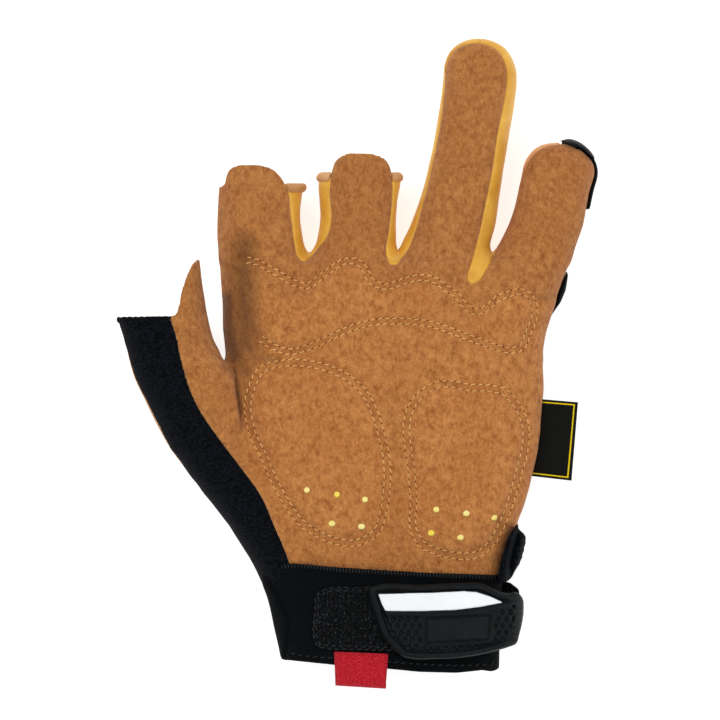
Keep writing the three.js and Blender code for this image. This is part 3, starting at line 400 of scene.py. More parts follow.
def suede_outline():
    runs = [
        SIDE_PANEL_EDGE, THUMB_TONGUE, INDEX_TONGUE, FORK_ONE, MIDDLE_TONGUE, FORK_TWO,
        RING_EDGE, FORK_THREE, PINKY_EDGE,
    ]
    lines = [curve(run) for run in runs]
    lines.insert(2, plan([THUMB_NOTCH]))
    lines += [plan(LITTLE_SIDE), curve(WRIST_SIDE), plan(WRIST_EDGE)]
    return np.concatenate(lines)


SUEDE_OUTLINE = suede_outline()
PADS = {
    "knuckle": curve(KNUCKLE_PAD + KNUCKLE_PAD_BACK[1:-1], closed=True),
    "left": curve(LEFT_PAD, closed=True),
    "right": curve(RIGHT_PAD, closed=True),
}

# Folds and creases: line, depth in mm and half width in mm
CREASES = [
    ([(236, 370), (246, 365), (262, 361)], 0.8, 1.6),
    ([(262, 349), (296, 352), (330, 346)], 0.5, 1.5),
    ([(250, 362), (296, 357), (350, 374)], 0.3, 1.6),
    ([(536, 298), (550, 294), (566, 296)], 0.7, 1.8),
    ([(398, 395), (397, 440), (400, 500), (402, 560)], 0.6, 3.2),
    ([(395, 330), (396, 360), (398, 395)], 0.35, 3.0),
    ([(247, 240), (245, 280), (248, 330)], 0.4, 3.4),
    ([(222, 470), (246, 476), (262, 490)], 0.3, 3.0),
]

# Slack of the suede: height and length of its waves in mm, and seed
SLACK = ((0.16, 17, 3), (0.08, 7, 4))
PAD_START = 0.7
PAD_SLOPE = 2.6
VALLEY_DEPTH = 0.45
VALLEY_WIDTH = 1.5


def relief(x, y):
    """How far the palm side stands out in mm: pads, sewn valleys, creases and slack."""
    x, y = np.broadcast_arrays(x, y)
    height = sum(rise * waves(x, y, length, seed) for rise, length, seed in SLACK)
    for pad in PADS.values():
        depth = -line_distance(pad, x, y, closed=True)
        height += PAD_RISE * (1 - np.exp(-np.maximum(depth - ROW_GAP * PAD_START, 0) / PAD_SLOPE))
        height -= VALLEY_DEPTH * near(depth - ROW_GAP / 2, VALLEY_WIDTH)
    for points, deep, wide in CREASES:
        height -= deep * near(line_distance(curve(points), x, y), wide)
    return height.astype(np.float32)


SIDE_SEAM = 17.5
THUMB_SEAM_RISE = 6.0
THUMB_SEAM_COLUMNS = (240, 205)
THUMB_SEAM_ROWS = (520, 420)


def split_height(x, y):
    """Height of the glove's side seams, higher on the thumb."""
    on_thumb = by_column(THUMB_SEAM_COLUMNS, x) * by_row(THUMB_SEAM_ROWS, y)
    return SIDE_SEAM + THUMB_SEAM_RISE * on_thumb


def mesh_object(name, points, faces):
    """Adds a mesh given in millimetres."""
    mesh = bpy.data.meshes.new(name)
    mesh.from_pydata((np.asarray(points) * MM).tolist(), [], np.asarray(faces).tolist())
    mesh.validate()
    mesh.shade_smooth()
    obj = bpy.data.objects.new(name, mesh)
    bpy.context.scene.collection.objects.link(obj)
    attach(obj, "root")
    return obj


FIELD_BAND = 3


def surface(block, field):
    """Points in mm and faces of the field's zero surface."""
    grid = vdb.FloatGrid(block.step * FIELD_BAND)
    kept = np.clip(field, -FIELD_BAND, FIELD_BAND)
    grid.copyFromArray(np.ascontiguousarray(kept, dtype=np.float32))
    points, quads = grid.convertToQuads(0.0)
    points = points.astype(float) * block.step + block.low
    corners = [points[quads[:, i]] for i in (0, 1, 2)]
    volume = np.einsum("ij,ij->", corners[0], np.cross(corners[1], corners[2]))
    if volume < 0:
        quads = quads[:, ::-1]
    return points, quads


def field_object(name, block, field):
    return mesh_object(name, *surface(block, field))


def give(obj, name, values):
    """Stores one number for each vertex, for the materials to read."""
    attribute = obj.data.attributes.new(name, "FLOAT", "POINT")
    attribute.data.foreach_set("value", np.asarray(values, dtype=np.float32))


def vertices(obj):
    """Vertex places in millimetres."""
    flat = np.zeros(len(obj.data.vertices) * 3)
    obj.data.vertices.foreach_get("co", flat)
    return flat.reshape(-1, 3) / MM


# The whole hand, sampled once; its relief comes in over these heights from the side seams
SPACE = Block((-88, -118, -2), (90, 118, 48), STEP)
RELIEF_HEIGHTS = (-2, 6)
HAND = hand_field(SPACE)
FLAT_X, FLAT_Y = SPACE.x[:, :, 0], SPACE.y[:, :, 0]
SPLIT = split_height(FLAT_X, FLAT_Y)[:, :, None].astype(np.float32)
SUEDE_EDGE = SPACE.from_line(SUEDE_OUTLINE, closed=True).astype(np.float32)
UPPER = ease(*RELIEF_HEIGHTS, SPACE.z - SPLIT).astype(np.float32)
SKIN = HAND - relief(FLAT_X, FLAT_Y)[:, :, None] * UPPER
IN_SUEDE = np.maximum(SUEDE_EDGE, SPLIT - SPACE.z)


def shell(field, outer, thickness):
    """The layer of material that reaches from thickness below an offset up to it."""
    return blend_max(field - outer, outer - thickness - field, EDGE_ROUND)


def crop(wanted):
    """Slices and a block of the hand's space round the wanted places."""
    keep = np.argwhere(wanted)
    return SPACE.cut(SPACE.low + keep.min(0) * STEP - MARGIN, SPACE.low + keep.max(0) * STEP + MARGIN)


def dress(obj, slot, material, *nodes):
    """Gives a piece its finish and hides the CAD nodes that it stands for."""
    obj.data.materials.append(material)
    if nodes:
        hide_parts(*nodes)
    return obj


def srgb(red, green, blue):
    """A colour given as 8-bit values, as the linear colour that shaders take."""
    parts = [v / 255 for v in (red, green, blue)]
    return tuple(v / 12.92 if v < 0.04045 else ((v + 0.055) / 1.055) ** 2.4 for v in parts) + (1.0,)


SHEEN_ROUGHNESS = 0.6
WAVE_SCALE = 20


class Paint:
    """Builds one material out of nodes. Sizes are in millimetres."""

    def __init__(self, name, roughness, sheen=0.0, coat=0.0, specular=0.5):
        self.material = bpy.data.materials.new(name)
        self.material.use_nodes = True
        self.tree = self.material.node_tree
        self.shader = self.tree.nodes["Principled BSDF"]
        self.shader.inputs["Roughness"].default_value = roughness
        self.shader.inputs["Sheen Weight"].default_value = sheen
        self.shader.inputs["Sheen Roughness"].default_value = SHEEN_ROUGHNESS
        self.shader.inputs["Coat Weight"].default_value = coat
        self.shader.inputs["Specular IOR Level"].default_value = specular
        self.place = self.tree.nodes.new("ShaderNodeTexCoord").outputs["Object"]

    def node(self, kind, inputs, output=0, **settings):
        node = self.tree.nodes.new(kind)
        for key, value in settings.items():
            setattr(node, key, value)
        for key, value in inputs.items():
            if isinstance(value, bpy.types.NodeSocket):
                self.tree.links.new(value, node.inputs[key])
            else:
                node.inputs[key].default_value = value
        return node.outputs[output]

    def turned(self, stretch, turn):
        """Places on the glove, turned in the plan and stretched."""
        return self.node("ShaderNodeMapping", {
            "Vector": self.place, "Rotation": (0, 0, math.radians(turn)), "Scale": stretch,
        })

    def noise(self, size, detail=3.0, low=0.35, high=0.65, stretch=(1, 1, 1), turn=0.0):
        """Random patches about size across, from 0 to 1."""
        raw = self.node("ShaderNodeTexNoise", {
            "Vector": self.turned(stretch, turn), "Scale": 1 / (size * MM), "Detail": detail,
        })
        return self.node("ShaderNodeMapRange", {0: raw, 1: low, 2: high})

    def cells(self, size, stretch=(1, 1, 1), turn=0.0):
        """Distance from the middles of small cells."""
        return self.node("ShaderNodeTexVoronoi", {
            "Vector": self.turned(stretch, turn), "Scale": 1 / (size * MM),
        })

    def ribs(self, pitch, turn=0.0, distortion=0.0):
        """Parallel ridges, from 0 to 1, that lie across the direction of turn."""
        return self.node("ShaderNodeTexWave", {
            "Vector": self.turned((1, 1, 1), turn), "Scale": 2 * math.pi / (WAVE_SCALE * pitch * MM),
            "Distortion": distortion,
        }, output=1)

    def math(self, operation, a, b=0.0):
        return self.node("ShaderNodeMath", {0: a, 1: b}, operation=operation)

    def mix(self, a, b, factor):
        return self.node("ShaderNodeMix", {0: factor, 6: a, 7: b}, output=2, data_type="RGBA")

    def tint(self, color, other, where, amount=1.0):
        """The colour with another, given as 8-bit values, laid over it in places."""
        return self.mix(color, srgb(*other), self.math("MULTIPLY", where, amount))

    def stored(self, name):
        return self.node("ShaderNodeAttribute", {}, output=2, attribute_name=name)

    def finish(self, color, height, depth, strength=0.7):
        self.tree.links.new(color, self.shader.inputs["Base Color"])
        bump = self.node("ShaderNodeBump", {
            "Height": height, "Distance": depth * MM, "Strength": strength,
        })
        self.tree.links.new(bump, self.shader.inputs["Normal"])
        return self.material


# Colours of the suede: its two tones, patches, nap, grain, shadow and the cut edge's fibres
SUEDE_TONES = ((150, 82, 34), (210, 140, 76))
SUEDE_PATCH = (168, 97, 42)
SUEDE_NAP = (224, 159, 90)
SUEDE_GRAIN = (104, 54, 18)
SUEDE_SHADE = (62, 38, 18)
SUEDE_FRAY = (222, 174, 118)
TAN_PATCH = (222, 160, 108)
LEATHER_SHADE = (96, 62, 22)
RUBBER_SHADE = (7, 8, 9)


def suede_material():
    paint = Paint("suede", roughness=0.95, sheen=0.1, specular=0.1)
    broad = paint.noise(size=22, low=0.38, high=0.62)
    patch = paint.noise(size=2.4, detail=5, low=0.3, high=0.7, stretch=(1, 0.75, 1), turn=20)
    nap = paint.noise(size=1.1, detail=4, low=0.34, high=0.66, stretch=(1, 0.7, 1), turn=35)
    grain = paint.noise(size=0.5, detail=2, low=0.3, high=0.7)
    fibres = paint.noise(size=0.9, detail=2, low=0.3, high=0.6)
    color = paint.mix(srgb(*SUEDE_TONES[0]), srgb(*SUEDE_TONES[1]), patch)
    color = paint.tint(color, SUEDE_PATCH, broad, amount=0.5)
    color = paint.tint(color, SUEDE_NAP, nap, amount=0.44)
    color = paint.tint(color, SUEDE_GRAIN, grain, amount=0.38)
    color = paint.mix(color, srgb(*SUEDE_SHADE), paint.stored("dark"))
    color = paint.tint(color, SUEDE_FRAY, paint.stored("edge"), fibres)
    patches = paint.math("MULTIPLY", patch, 1.2)
    return paint.finish(color, paint.math("ADD", paint.math("ADD", grain, nap), patches), depth=0.2)


def leather_material(name, deep, pale, roughness):
    paint = Paint(name, roughness, specular=0.35)
    broad = paint.noise(size=9, low=0.3, high=0.7)
    fine = paint.noise(size=2.4, low=0.3, high=0.7, stretch=(1, 0.5, 1))
    grain = paint.cells(size=0.6)
    color = paint.mix(srgb(*deep), srgb(*pale), broad)
    color = paint.tint(color, deep, grain, amount=0.35)
    color = paint.mix(color, srgb(*TAN_PATCH), paint.stored("tan"))
    color = paint.mix(color, srgb(*LEATHER_SHADE), paint.stored("dark"))
    height = paint.math("ADD", paint.math("MULTIPLY", grain, 0.6), fine)
    return paint.finish(color, height, depth=0.1)


def knit_material(name, deep, pale, size, roughness=0.9):
    paint = Paint(name, roughness, sheen=0.01, specular=0.06)
    loops = paint.cells(size, stretch=(1, 1.6, 1), turn=8)
    fine = paint.noise(size * 0.4, detail=2, low=0.3, high=0.7)
    color = paint.mix(srgb(*pale), srgb(*deep), paint.math("ADD", loops, 0.25))
    color = paint.tint(color, deep, fine, amount=0.6)
    height = paint.math("ADD", paint.math("SUBTRACT", 1.0, loops), paint.math("MULTIPLY", fine, 0.4))
    return paint.finish(color, height, depth=size * 0.28)


def weave_material(name, deep, pale, pitch, turn=0.0, roughness=0.85, sheen=0.05):
    """Woven tape or fabric: ridges both ways with a fine fleck."""
    paint = Paint(name, roughness, sheen=sheen, specular=0.06)
    ridges = paint.math("MAXIMUM", paint.ribs(pitch, turn), paint.ribs(pitch * 1.3, turn + 90))
    fine = paint.noise(size=pitch * 0.7, detail=2)
    color = paint.mix(srgb(*deep), srgb(*pale), paint.math("MULTIPLY", ridges, fine))
    height = paint.math("ADD", ridges, paint.math("MULTIPLY", fine, 0.5))
    return paint.finish(color, height, depth=pitch * 0.3)


def fuzzy_material(name, deep, pale):
    """Loop fabric: tiny bright loops on black in faint upright rows."""
    paint = Paint(name, roughness=0.95, sheen=0.03, specular=0.08)
    loops = paint.noise(size=0.5, detail=2, low=0.56, high=0.72, stretch=(1, 0.7, 1))
    rows = paint.ribs(pitch=1.5, distortion=1.5)
    lit = paint.math("MULTIPLY", loops, paint.math("ADD", rows, 0.35))
    color = paint.mix(srgb(*deep), srgb(*pale), lit)
    return paint.finish(color, paint.math("ADD", loops, rows), depth=0.3)


def rubber_material(name, deep, pale, roughness, coat=0.0, specular=0.16):
    paint = Paint(name, roughness, coat=coat, specular=specular)
    broad = paint.noise(size=5, low=0.3, high=0.7)
    fine = paint.noise(size=0.4, detail=2, low=0.3, high=0.7)
    color = paint.mix(srgb(*deep), srgb(*pale), broad)
    color = paint.mix(color, srgb(*RUBBER_SHADE), paint.stored("dark"))
    return paint.finish(color, paint.math("ADD", fine, broad), depth=0.04)


SUEDE_FINISH = suede_material()
YELLOW_FINISH = leather_material("yellow_leather", (208, 148, 44), (238, 186, 78), 0.5)
TAN_FINISH = leather_material("tan_leather", (184, 128, 78), (214, 164, 112), 0.6)
THREAD_FINISH = leather_material("tan_thread", (206, 148, 82), (232, 180, 112), 0.8)
DARK_THREAD = leather_material("black_thread", (16, 18, 20), (32, 35, 38), 0.8)
# Painted shadow of the needle holes, laid on as small dark domes
HOLE_SHADOW_FINISH = leather_material("stitch_shadow", (80, 46, 20), (120, 74, 36), 0.9)
KNIT_FINISH = knit_material("black_knit", (2, 3, 5), (30, 33, 43), 1.25)
CUFF_FINISH = weave_material("cuff_fabric", (2, 3, 4), (14, 17, 19), 0.5, sheen=0.0)
LOOP_FINISH = fuzzy_material("loop_fabric", (2, 3, 4), (58, 62, 66))
RUBBER_FINISH = rubber_material("moulded_rubber", (9, 12, 14), (16, 20, 22), 0.46, specular=0.1)
WHITE_FINISH = rubber_material("gloss_white", (234, 237, 241), (240, 243, 246), 0.22, 0.3, 0.4)
RED_FINISH = weave_material("red_webbing", (158, 12, 26), (214, 44, 58), 0.75, 35, 0.75)
LABEL_FINISH = weave_material("black_label", (5, 5, 4), (18, 18, 15), 0.35, 0, 0.7)
MARK_FINISH = weave_material("yellow_label", (226, 190, 10), (252, 222, 20), 0.35, 0, 0.7)
FOAM_FINISH = leather_material("pale_foam", (238, 208, 40), (246, 236, 172), 0.8)

# Shaded places on the suede: line, half width in mm and how dark
SHADES = [
    ([(244, 246), (242, 300), (246, 344)], 6.0, 0.6),
    ([(228, 300), (230, 330), (236, 356)], 4.0, 0.72),
    ([(232, 348), (240, 360), (244, 372)], 3.4, 0.5),
    ([(250, 352), (262, 356), (280, 360)], 2.0, 0.3),
    ([(262, 350), (250, 372), (246, 398)], 1.6, 0.3),
    ([(506, 262), (520, 224), (532, 186)], 5.0, 0.14),
    ([(404, 262), (424, 226), (440, 150)], 3.0, 0.12),
    ([(536, 298), (566, 295)], 1.6, 0.3),
    ([(300, 290), (262, 282)], 4.0, 0.15),
    ([(392, 395), (397, 470), (400, 560)], 2.2, 0.12),
    ([(470, 262), (462, 300)], 6.0, 0.12),
]

# Shading of the suede in other places: how dark it is and where, in mm or rows and columns
SUEDE_ROUND = 0.7
FRAY = 0.22
FRAY_WIDTH = 0.5
FRAY_HEIGHTS = (12, 16)
VALLEY_SHADE = 0.1
VALLEY_SHADE_WIDTH = 1.6
PAD_DEPTHS = (0, 3)
# Painted shade on the suede outside the raised pads: its share between the pads and its full darkness
BETWEEN_PADS = 0.3
OFF_PAD_SHADE = 0.14
FINGER_ROWS = (330, 270)
THUMB_SIDE_COLUMNS = (262, 232)
FOLD_SHADE = 0.85
FOLD_WIDTH = 1.5
FOLD_LIPS = (-0.2, 0.3)
FOLD_LOW_ROWS = (430, 412)
FOLD_TOP_ROWS = (362, 370)
FOLD_COLUMN = 270


def palm_suede():
    edge = blend_max(SUEDE_EDGE, SPLIT - SPACE.z, EDGE_ROUND)
    obj = field_object("palm_suede", SPACE, blend_max(shell(SKIN, 0.0, SUEDE), edge, SUEDE_ROUND))
    x, y, z = vertices(obj).T
    rim = line_distance(SUEDE_OUTLINE, x, y, closed=True)
    give(obj, "edge", FRAY * near(np.minimum(rim, 0), FRAY_WIDTH) * ease(*FRAY_HEIGHTS, z))
    dark = np.zeros(len(x))
    for points, wide, amount in SHADES:
        dark = np.maximum(dark, amount * near(line_distance(curve(points), x, y), wide))
    in_pad = np.zeros(len(x))
    for pad in PADS.values():
        depth = -line_distance(pad, x, y, closed=True)
        dark = np.maximum(dark, VALLEY_SHADE * near(depth - ROW_GAP / 2, VALLEY_SHADE_WIDTH))
        in_pad = np.maximum(in_pad, ease(*PAD_DEPTHS, depth))
    # Painted shade outside the raised pads: part of it between them, and all of it on the fingers and the
    # thumb's side
    outer = np.maximum(by_row(FINGER_ROWS, y), by_column(THUMB_SIDE_COLUMNS, x))
    off_pad_share = BETWEEN_PADS + (1 - BETWEEN_PADS) * outer
    dark = np.maximum(dark, OFF_PAD_SHADE * (1 - in_pad) * off_pad_share)
    fold = -past_fold(x, y)
    in_fold = by_row(FOLD_LOW_ROWS, y) * by_row(FOLD_TOP_ROWS, y) * (x < column_x(FOLD_COLUMN))
    in_fold = in_fold * ease(*FOLD_LIPS, fold)
    give(obj, "dark", np.maximum(dark, FOLD_SHADE * in_fold * near(fold, FOLD_WIDTH)))
    leathers = [f"{part}_leather" for part in ("palm", "thumb", "index", "middle", "ring", "pinky")]
    return dress(obj, "suede", SUEDE_FINISH, *leathers)


palm_piece = palm_suede()

# The layer under the suede dips where the suede lies on it; its seams lap and sink a little
DIP = (0.3, -1.0)
UNDERLAY = SKIN + UNDER_DROP + (TUCK - UNDER_DROP) * ease(*DIP, IN_SUEDE)
UNDERLAY_REACH = -TUCK_REACH - IN_SUEDE
UNDER_ROUND = 0.4
FINGER_SIDE_LOW = 9.0
SEAM_LAP = 1.0
SEAM_SINK = 0.22
SEAM_CLEAR = 0.15
BACK_TOP_ROW = 300
SIDE_TOP_ROW = 310
TIP_LAP = 0.35
TIP_LAP_ROWS = (130, 90)
TAN_ROWS = (270, 225)
SEAM_ROWS = [(240, 606), (282, 604), (300, 574), (500, 580), (560, 580)]

# Lines down the middle of each finger and between neighbours, from the palm to past the tip
SPINES = {
    "index": [(262, 336), (262, 240), (260, 10)],
    "middle": [(352, 336), (357, 255), (360, 10)],
    "ring": [(438, 336), (445, 262), (462, 180), (480, 60), (480, 10)],
    "pinky": [(526, 336), (531, 266), (548, 216), (560, 160), (560, 10)],
}
BORDERS = {
    "outer": [(200, 336), (208, 200), (208, 10)],
    "index_middle": [(307, 336), (308, 255), (309, 10)],
    "middle_ring": [(399, 336), (398, 252), (406, 230), (424, 120), (424, 10)],
    "ring_pinky": [(487, 336), (492, 256), (505, 216), (524, 150), (540, 10)],
    "little": [(640, 336), (640, 10)],
}
FINGER_SIDES = {
    "index": ("outer", "index_middle"), "middle": ("index_middle", "middle_ring"),
    "ring": ("middle_ring", "ring_pinky"), "pinky": ("ring_pinky", "little"),
}
PINKY_CLOSE = [(640, 10), (640, 336)]

# Rows of the open fingertips
OPEN_ENDS = {"index": 188.0, "middle": 177.0}


def between(left, right):
    """Distance to the strip of the plan between two lines that run up the glove."""
    return SPACE.from_line(np.array([*plan(left), *plan(right)[::-1]]), closed=True)


def finger_strip(name):
    return between(*(BORDERS[side] for side in FINGER_SIDES[name]))


PINKY_LINE = plan(BORDERS["ring_pinky"] + PINKY_CLOSE)


def under_piece(name, zone, slot, material, *nodes, sink=0.0):
    """One piece of the layer under the suede. A sunk one laps under its neighbours."""
    field = np.maximum(shell(UNDERLAY, -sink, UNDER), UNDERLAY_REACH)
    part, block = crop(zone < MARGIN)
    obj = field_object(name, block, blend_max(field[part], zone[part], UNDER_ROUND))
    x, y = vertices(obj).T[:2]
    beyond = line_distance(PINKY_LINE, x, y, closed=True)
    give(obj, "tan", by_row(TAN_ROWS, y) * ease(1, -1, beyond))
    return dress(obj, slot, material, *nodes)


def above_row(row):
    """Negative towards the fingertips from a row of the photograph."""
    return row_y(row) - SPACE.y


SEAM = np.interp(SPACE.x, plan(SEAM_ROWS)[:, 0], plan(SEAM_ROWS)[:, 1])
ABOVE_SEAM = SEAM - SPACE.y
FULL = np.zeros(SPACE.shape, np.float32)


def fourchettes():
    """The strips between neighbouring fingers, which close the tips too."""
    above_side = SEAM_CLEAR - (SPACE.z - FINGER_SIDE_LOW)
    for left, right in (("index", "middle"), ("middle", "ring"), ("ring", "pinky")):
        zone = np.maximum(between(SPINES[left], SPINES[right]), above_row(SIDE_TOP_ROW) + SEAM_CLEAR)
        zone = np.maximum(zone, above_side)
        for name, row in OPEN_ENDS.items():
            if name in (left, right):
                zone = np.maximum(zone, np.minimum(-above_row(row), -finger_strip(name)))
        lapped = TIP_LAP * by_row(TIP_LAP_ROWS, SPACE.y)
        name = f"fourchette_{left}_{right}"
        under_piece(name, zone - lapped + FULL, "yellow_leather", YELLOW_FINISH, name)


def finger_backs():
    under = SPACE.z - FINGER_SIDE_LOW
    side = between(SPINES["index"], SPINES["pinky"])
    for i, name in enumerate(SPINES):
        odd = i % 2
        zone = np.maximum(finger_strip(name) - SEAM_LAP * odd, above_row(BACK_TOP_ROW))
        zone = np.maximum(zone, np.minimum(under - SEAM_LAP, -side - SEAM_LAP))
        if name in OPEN_ENDS:
            zone = np.maximum(zone, -above_row(OPEN_ENDS[name]))
        under_piece(f"{name}_back_leather", zone + FULL, "yellow_leather", YELLOW_FINISH, f"{name}_back",
                    sink=SEAM_SINK * (1 + odd / 2))


fourchettes()
finger_backs()

# Knit on the outer side of the thumb, tan leather under it and knit over the back of the hand
THUMB_RIM_ROW = 319.0
THUMB_BORDER = [(226, 200), (222, 362), (246, 430), (262, 520), (268, 610)]
THUMB_FRONT_BORDER = [(226, 200), (222, 362), (250, 430), (282, 500), (298, 560), (304, 610)]
THUMB_LEFT_COLUMN = 60
THUMB_SPLIT_DROP = 2.0
THUMB_SPLIT_RISE = 6.0
THUMB_SPLIT_ROWS = (336, 352)
THUMB_SPLIT = SPLIT - THUMB_SPLIT_DROP + THUMB_SPLIT_RISE * by_row(THUMB_SPLIT_ROWS, FLAT_Y)[:, :, None]


def left_of(border):
    """Distance to the part of the plan that lies to the left of a line."""
    top, low = border[0][1], border[-1][1]
    return SPACE.from_line(plan([(THUMB_LEFT_COLUMN, top), *border, (THUMB_LEFT_COLUMN, low)]), closed=True)


THUMB_SIDE = np.where(SPACE.z > THUMB_SPLIT, left_of(THUMB_FRONT_BORDER), left_of(THUMB_BORDER))


def thumb_and_back():
    thumb = np.maximum(np.maximum(THUMB_SIDE, ABOVE_SEAM), SPACE.y - row_y(THUMB_RIM_ROW))
    under_piece("thumb_knit", np.maximum(thumb, THUMB_SPLIT + SEAM_CLEAR - SPACE.z),
                "black_knit", KNIT_FINISH, "side_panel")
    under_piece("thumb_back_leather", np.maximum(thumb, SPACE.z - THUMB_SPLIT - SEAM_LAP),
                "tan_leather", TAN_FINISH, "thumb_back", sink=SEAM_SINK)
    back = np.maximum(-THUMB_SIDE - SEAM_LAP, ABOVE_SEAM)
    back = np.maximum(back, SPACE.y - row_y(BACK_TOP_ROW) - SEAM_LAP)
    under_piece("back_knit", back + FULL, "black_knit", KNIT_FINISH, "back_panel", sink=2 * SEAM_SINK)


thumb_and_back()

# Rolled hems of the open fingertips, thinner on the index's outer side, and the thumb's rim
HEM_ROUND = 1.35
HEM_STRETCH = 1.3
HEM_SINK = 0.5
HEM_THIN = 0.85
HEM_THIN_COLUMNS = (245, 225)
HEM_CLEAR = 0.3
RIM_ROUND = 1.0
RIM_END_COLUMN = 198
RIM_MIDDLE = -60
RIM_TILT = 0.02
SCALLOP = 0.18
SCALLOP_PITCH = 2.1


def rolled_edge(name, centre, radius, zone, slot, material, *nodes):
    """A rolled hem that follows the skin along a line: centre is the distance from that line."""
    field = np.sqrt((SKIN + HEM_SINK) ** 2 + (centre / HEM_STRETCH) ** 2) - radius
    field = np.maximum(field, zone)
    part, block = crop(field < 1)
    obj = field_object(name, block, field[part])
    give(obj, "dark", np.zeros(len(obj.data.vertices)))
    return dress(obj, slot, material, *nodes)


def hems():
    past_suede = HEM_CLEAR - IN_SUEDE
    for name, row in OPEN_ENDS.items():
        thick = HEM_ROUND - HEM_THIN * by_column(HEM_THIN_COLUMNS, SPACE.x)
        zone = np.maximum(finger_strip(name), past_suede)
        rolled_edge(f"{name}_rolled_hem", SPACE.y - row_y(row), thick, zone,
                    "tan_leather", TAN_FINISH, f"{name}_hem")
    scallop = row_y(THUMB_RIM_ROW) + SCALLOP * ripple(SPACE.x, SCALLOP_PITCH)
    scallop = scallop + RIM_TILT * (SPACE.x - RIM_MIDDLE)
    zone = np.maximum(np.maximum(THUMB_SIDE, past_suede), SPACE.x - column_x(RIM_END_COLUMN))
    rolled_edge("thumb_rim", SPACE.y - scallop, RIM_ROUND, zone, "black_knit", KNIT_FINISH)


hems()

# The cuff, the loop patch and the closure's strap on it
CUFF_SPACE = Block((-38, -116, -1), (64, -66, 48), CUFF_STEP)
CUFF_OUTLINE = [
    (255, 571), (263, 568.5), (291, 562.5), (337, 566.5), (420, 571.5), (498, 574.5), (504, 582), (540, 584),
    (540, 663), (501, 668.5), (491, 671), (482, 669.5), (457, 672), (420, 671), (389, 668),
    (334, 664), (292, 660), (286, 660), (255, 657),
]
FLAP_FOLD = [(262, 566), (270, 580), (280, 600), (288, 620), (287, 640), (284, 660)]
FLAP_CLOSE = [(230, 660), (230, 566)]
FLAP_EDGE = (0.5, -0.5)
FLAP_RISE = 0.7
FLAP_GROOVE = 0.4
FLAP_GROOVE_WIDTH = 0.9
CUFF_SLACK = 0.15
CUFF_ROLL = [(263, 570), (291, 564.5), (337, 568.5), (420, 573.5), (498, 576.5)]
ROLL_RISE = 0.9
ROLL_WIDTH = 1.3
CUFF_SPLIT = 21.0
CUFF_RELIEF_RISE = 8
CUFF_EDGE_ROUND = 1.0
PATCH_OUTLINE = [
    (314, 640), (314, 610), (317, 592), (326, 587), (350, 585.5), (410, 585), (440, 590), (440, 640),
    (420, 650), (386, 650.5), (350, 649.5), (326, 648.5), (317, 646),
]
PATCH_OUTER = 1.5
PATCH_THICK = 1.2
PATCH_ROUND = 1.2
BAND_OUTLINE = [
    (314, 591), (498, 591), (500, 581), (510, 582.5), (518, 588.5), (522, 595), (523, 608), (521, 631),
    (516.5, 638), (515, 643), (501, 648), (314, 645),
]
BAND_THICK = 2.4
BAND_DROP = 1.5
BAND_ROUND = 0.9

# How much the tab's base and the strap stand out from the cuff: left, right, below and above
STRAP_GROW = (-1.8, 6.8, -0.3, 1.8)
BAND_GROW = (-1.8, 4.6, -0.3, 1.8)


def cuff_relief(x, y):
    flap_line = np.concatenate([curve(FLAP_FOLD), plan(FLAP_CLOSE)])
    flap = line_distance(flap_line, x, y, closed=True)
    height = FLAP_RISE * ease(*FLAP_EDGE, flap) - FLAP_GROOVE * near(flap, FLAP_GROOVE_WIDTH)
    height += CUFF_SLACK * waves(x, y, length=12, seed=8)
    return height + ROLL_RISE * near(line_distance(curve(CUFF_ROLL), x, y), ROLL_WIDTH)


def cuff_pieces():
    block = CUFF_SPACE
    plain = tube(block, CUFF, CUFF_ROUND)
    upper = ease(CUFF_SPLIT, CUFF_SPLIT + CUFF_RELIEF_RISE, block.z)
    skin = plain - cuff_relief(block.x[:, :, 0], block.y[:, :, 0])[:, :, None] * upper
    outline = block.from_line(plan(CUFF_OUTLINE), closed=True)
    field = blend_max(shell(skin, 0.0, CUFF_WALL), outline, CUFF_EDGE_ROUND)
    dress(field_object("cuff_shell", block, field), "cuff_fabric", CUFF_FINISH, "cuff")
    patch = block.from_line(curve(PATCH_OUTLINE, closed=True), closed=True)
    field = blend_max(shell(plain, PATCH_OUTER, PATCH_THICK), patch, PATCH_ROUND)
    field = np.maximum(field, CUFF_SPLIT - block.z)
    dress(field_object("loop_field", block, field), "loop_fabric", LOOP_FINISH, "loop_patch")
    strap = tube(block, CUFF, CUFF_ROUND, grow=BAND_GROW)
    zone = np.maximum(block.from_line(plan(BAND_OUTLINE), closed=True), block.z - (CUFF_SPLIT - BAND_DROP))
    field = blend_max(shell(strap, BAND_THICK, BAND_THICK), zone, BAND_ROUND)
    dress(field_object("closure_band", block, field), "loop_fabric", LOOP_FINISH, "closure_strap")


# The moulded closure tab: a rim with a moat inside it, a ridge, a bare plate and dimples
TAB_SPACE = Block((2, -108, 17), (61, -77, 49), FINE_STEP)
TAB_OUTLINE = [
    (384, 637), (394, 647.5), (402, 655), (414, 658), (433, 658), (457, 657), (481, 653.5),
    (499, 649), (509, 646), (516, 643), (519, 634), (522, 622), (523.5, 608), (522.5, 598),
    (517, 592), (508, 592.5), (500, 591), (491, 586.5), (481, 582.5), (463, 582), (421, 583.6), (376, 584),
    (369.5, 586), (369, 592), (373, 606), (378, 622),
]
ID_OUTLINE = [
    (378, 593), (395, 592.4), (433, 591.5), (463, 590), (476, 591), (490, 595.5), (503, 601.8),
    (481, 606), (457, 609), (430, 610), (408, 610.2), (385, 610), (381, 602),
]
PLATE_OUTLINE = [(422, 614.5), (494.5, 610), (491.5, 642), (422, 646)]
RIDGE_LINE = [(384, 613), (408, 613.2), (457, 612), (481, 609), (505, 604), (520, 599)]
RIDGE_CLOSE = [(530, 670), (370, 670)]
TAB_THICK = 3.1
TAB_DROP = 1.0
TAB_ROUND = 0.8
RIM_COLUMNS = (514, 500)
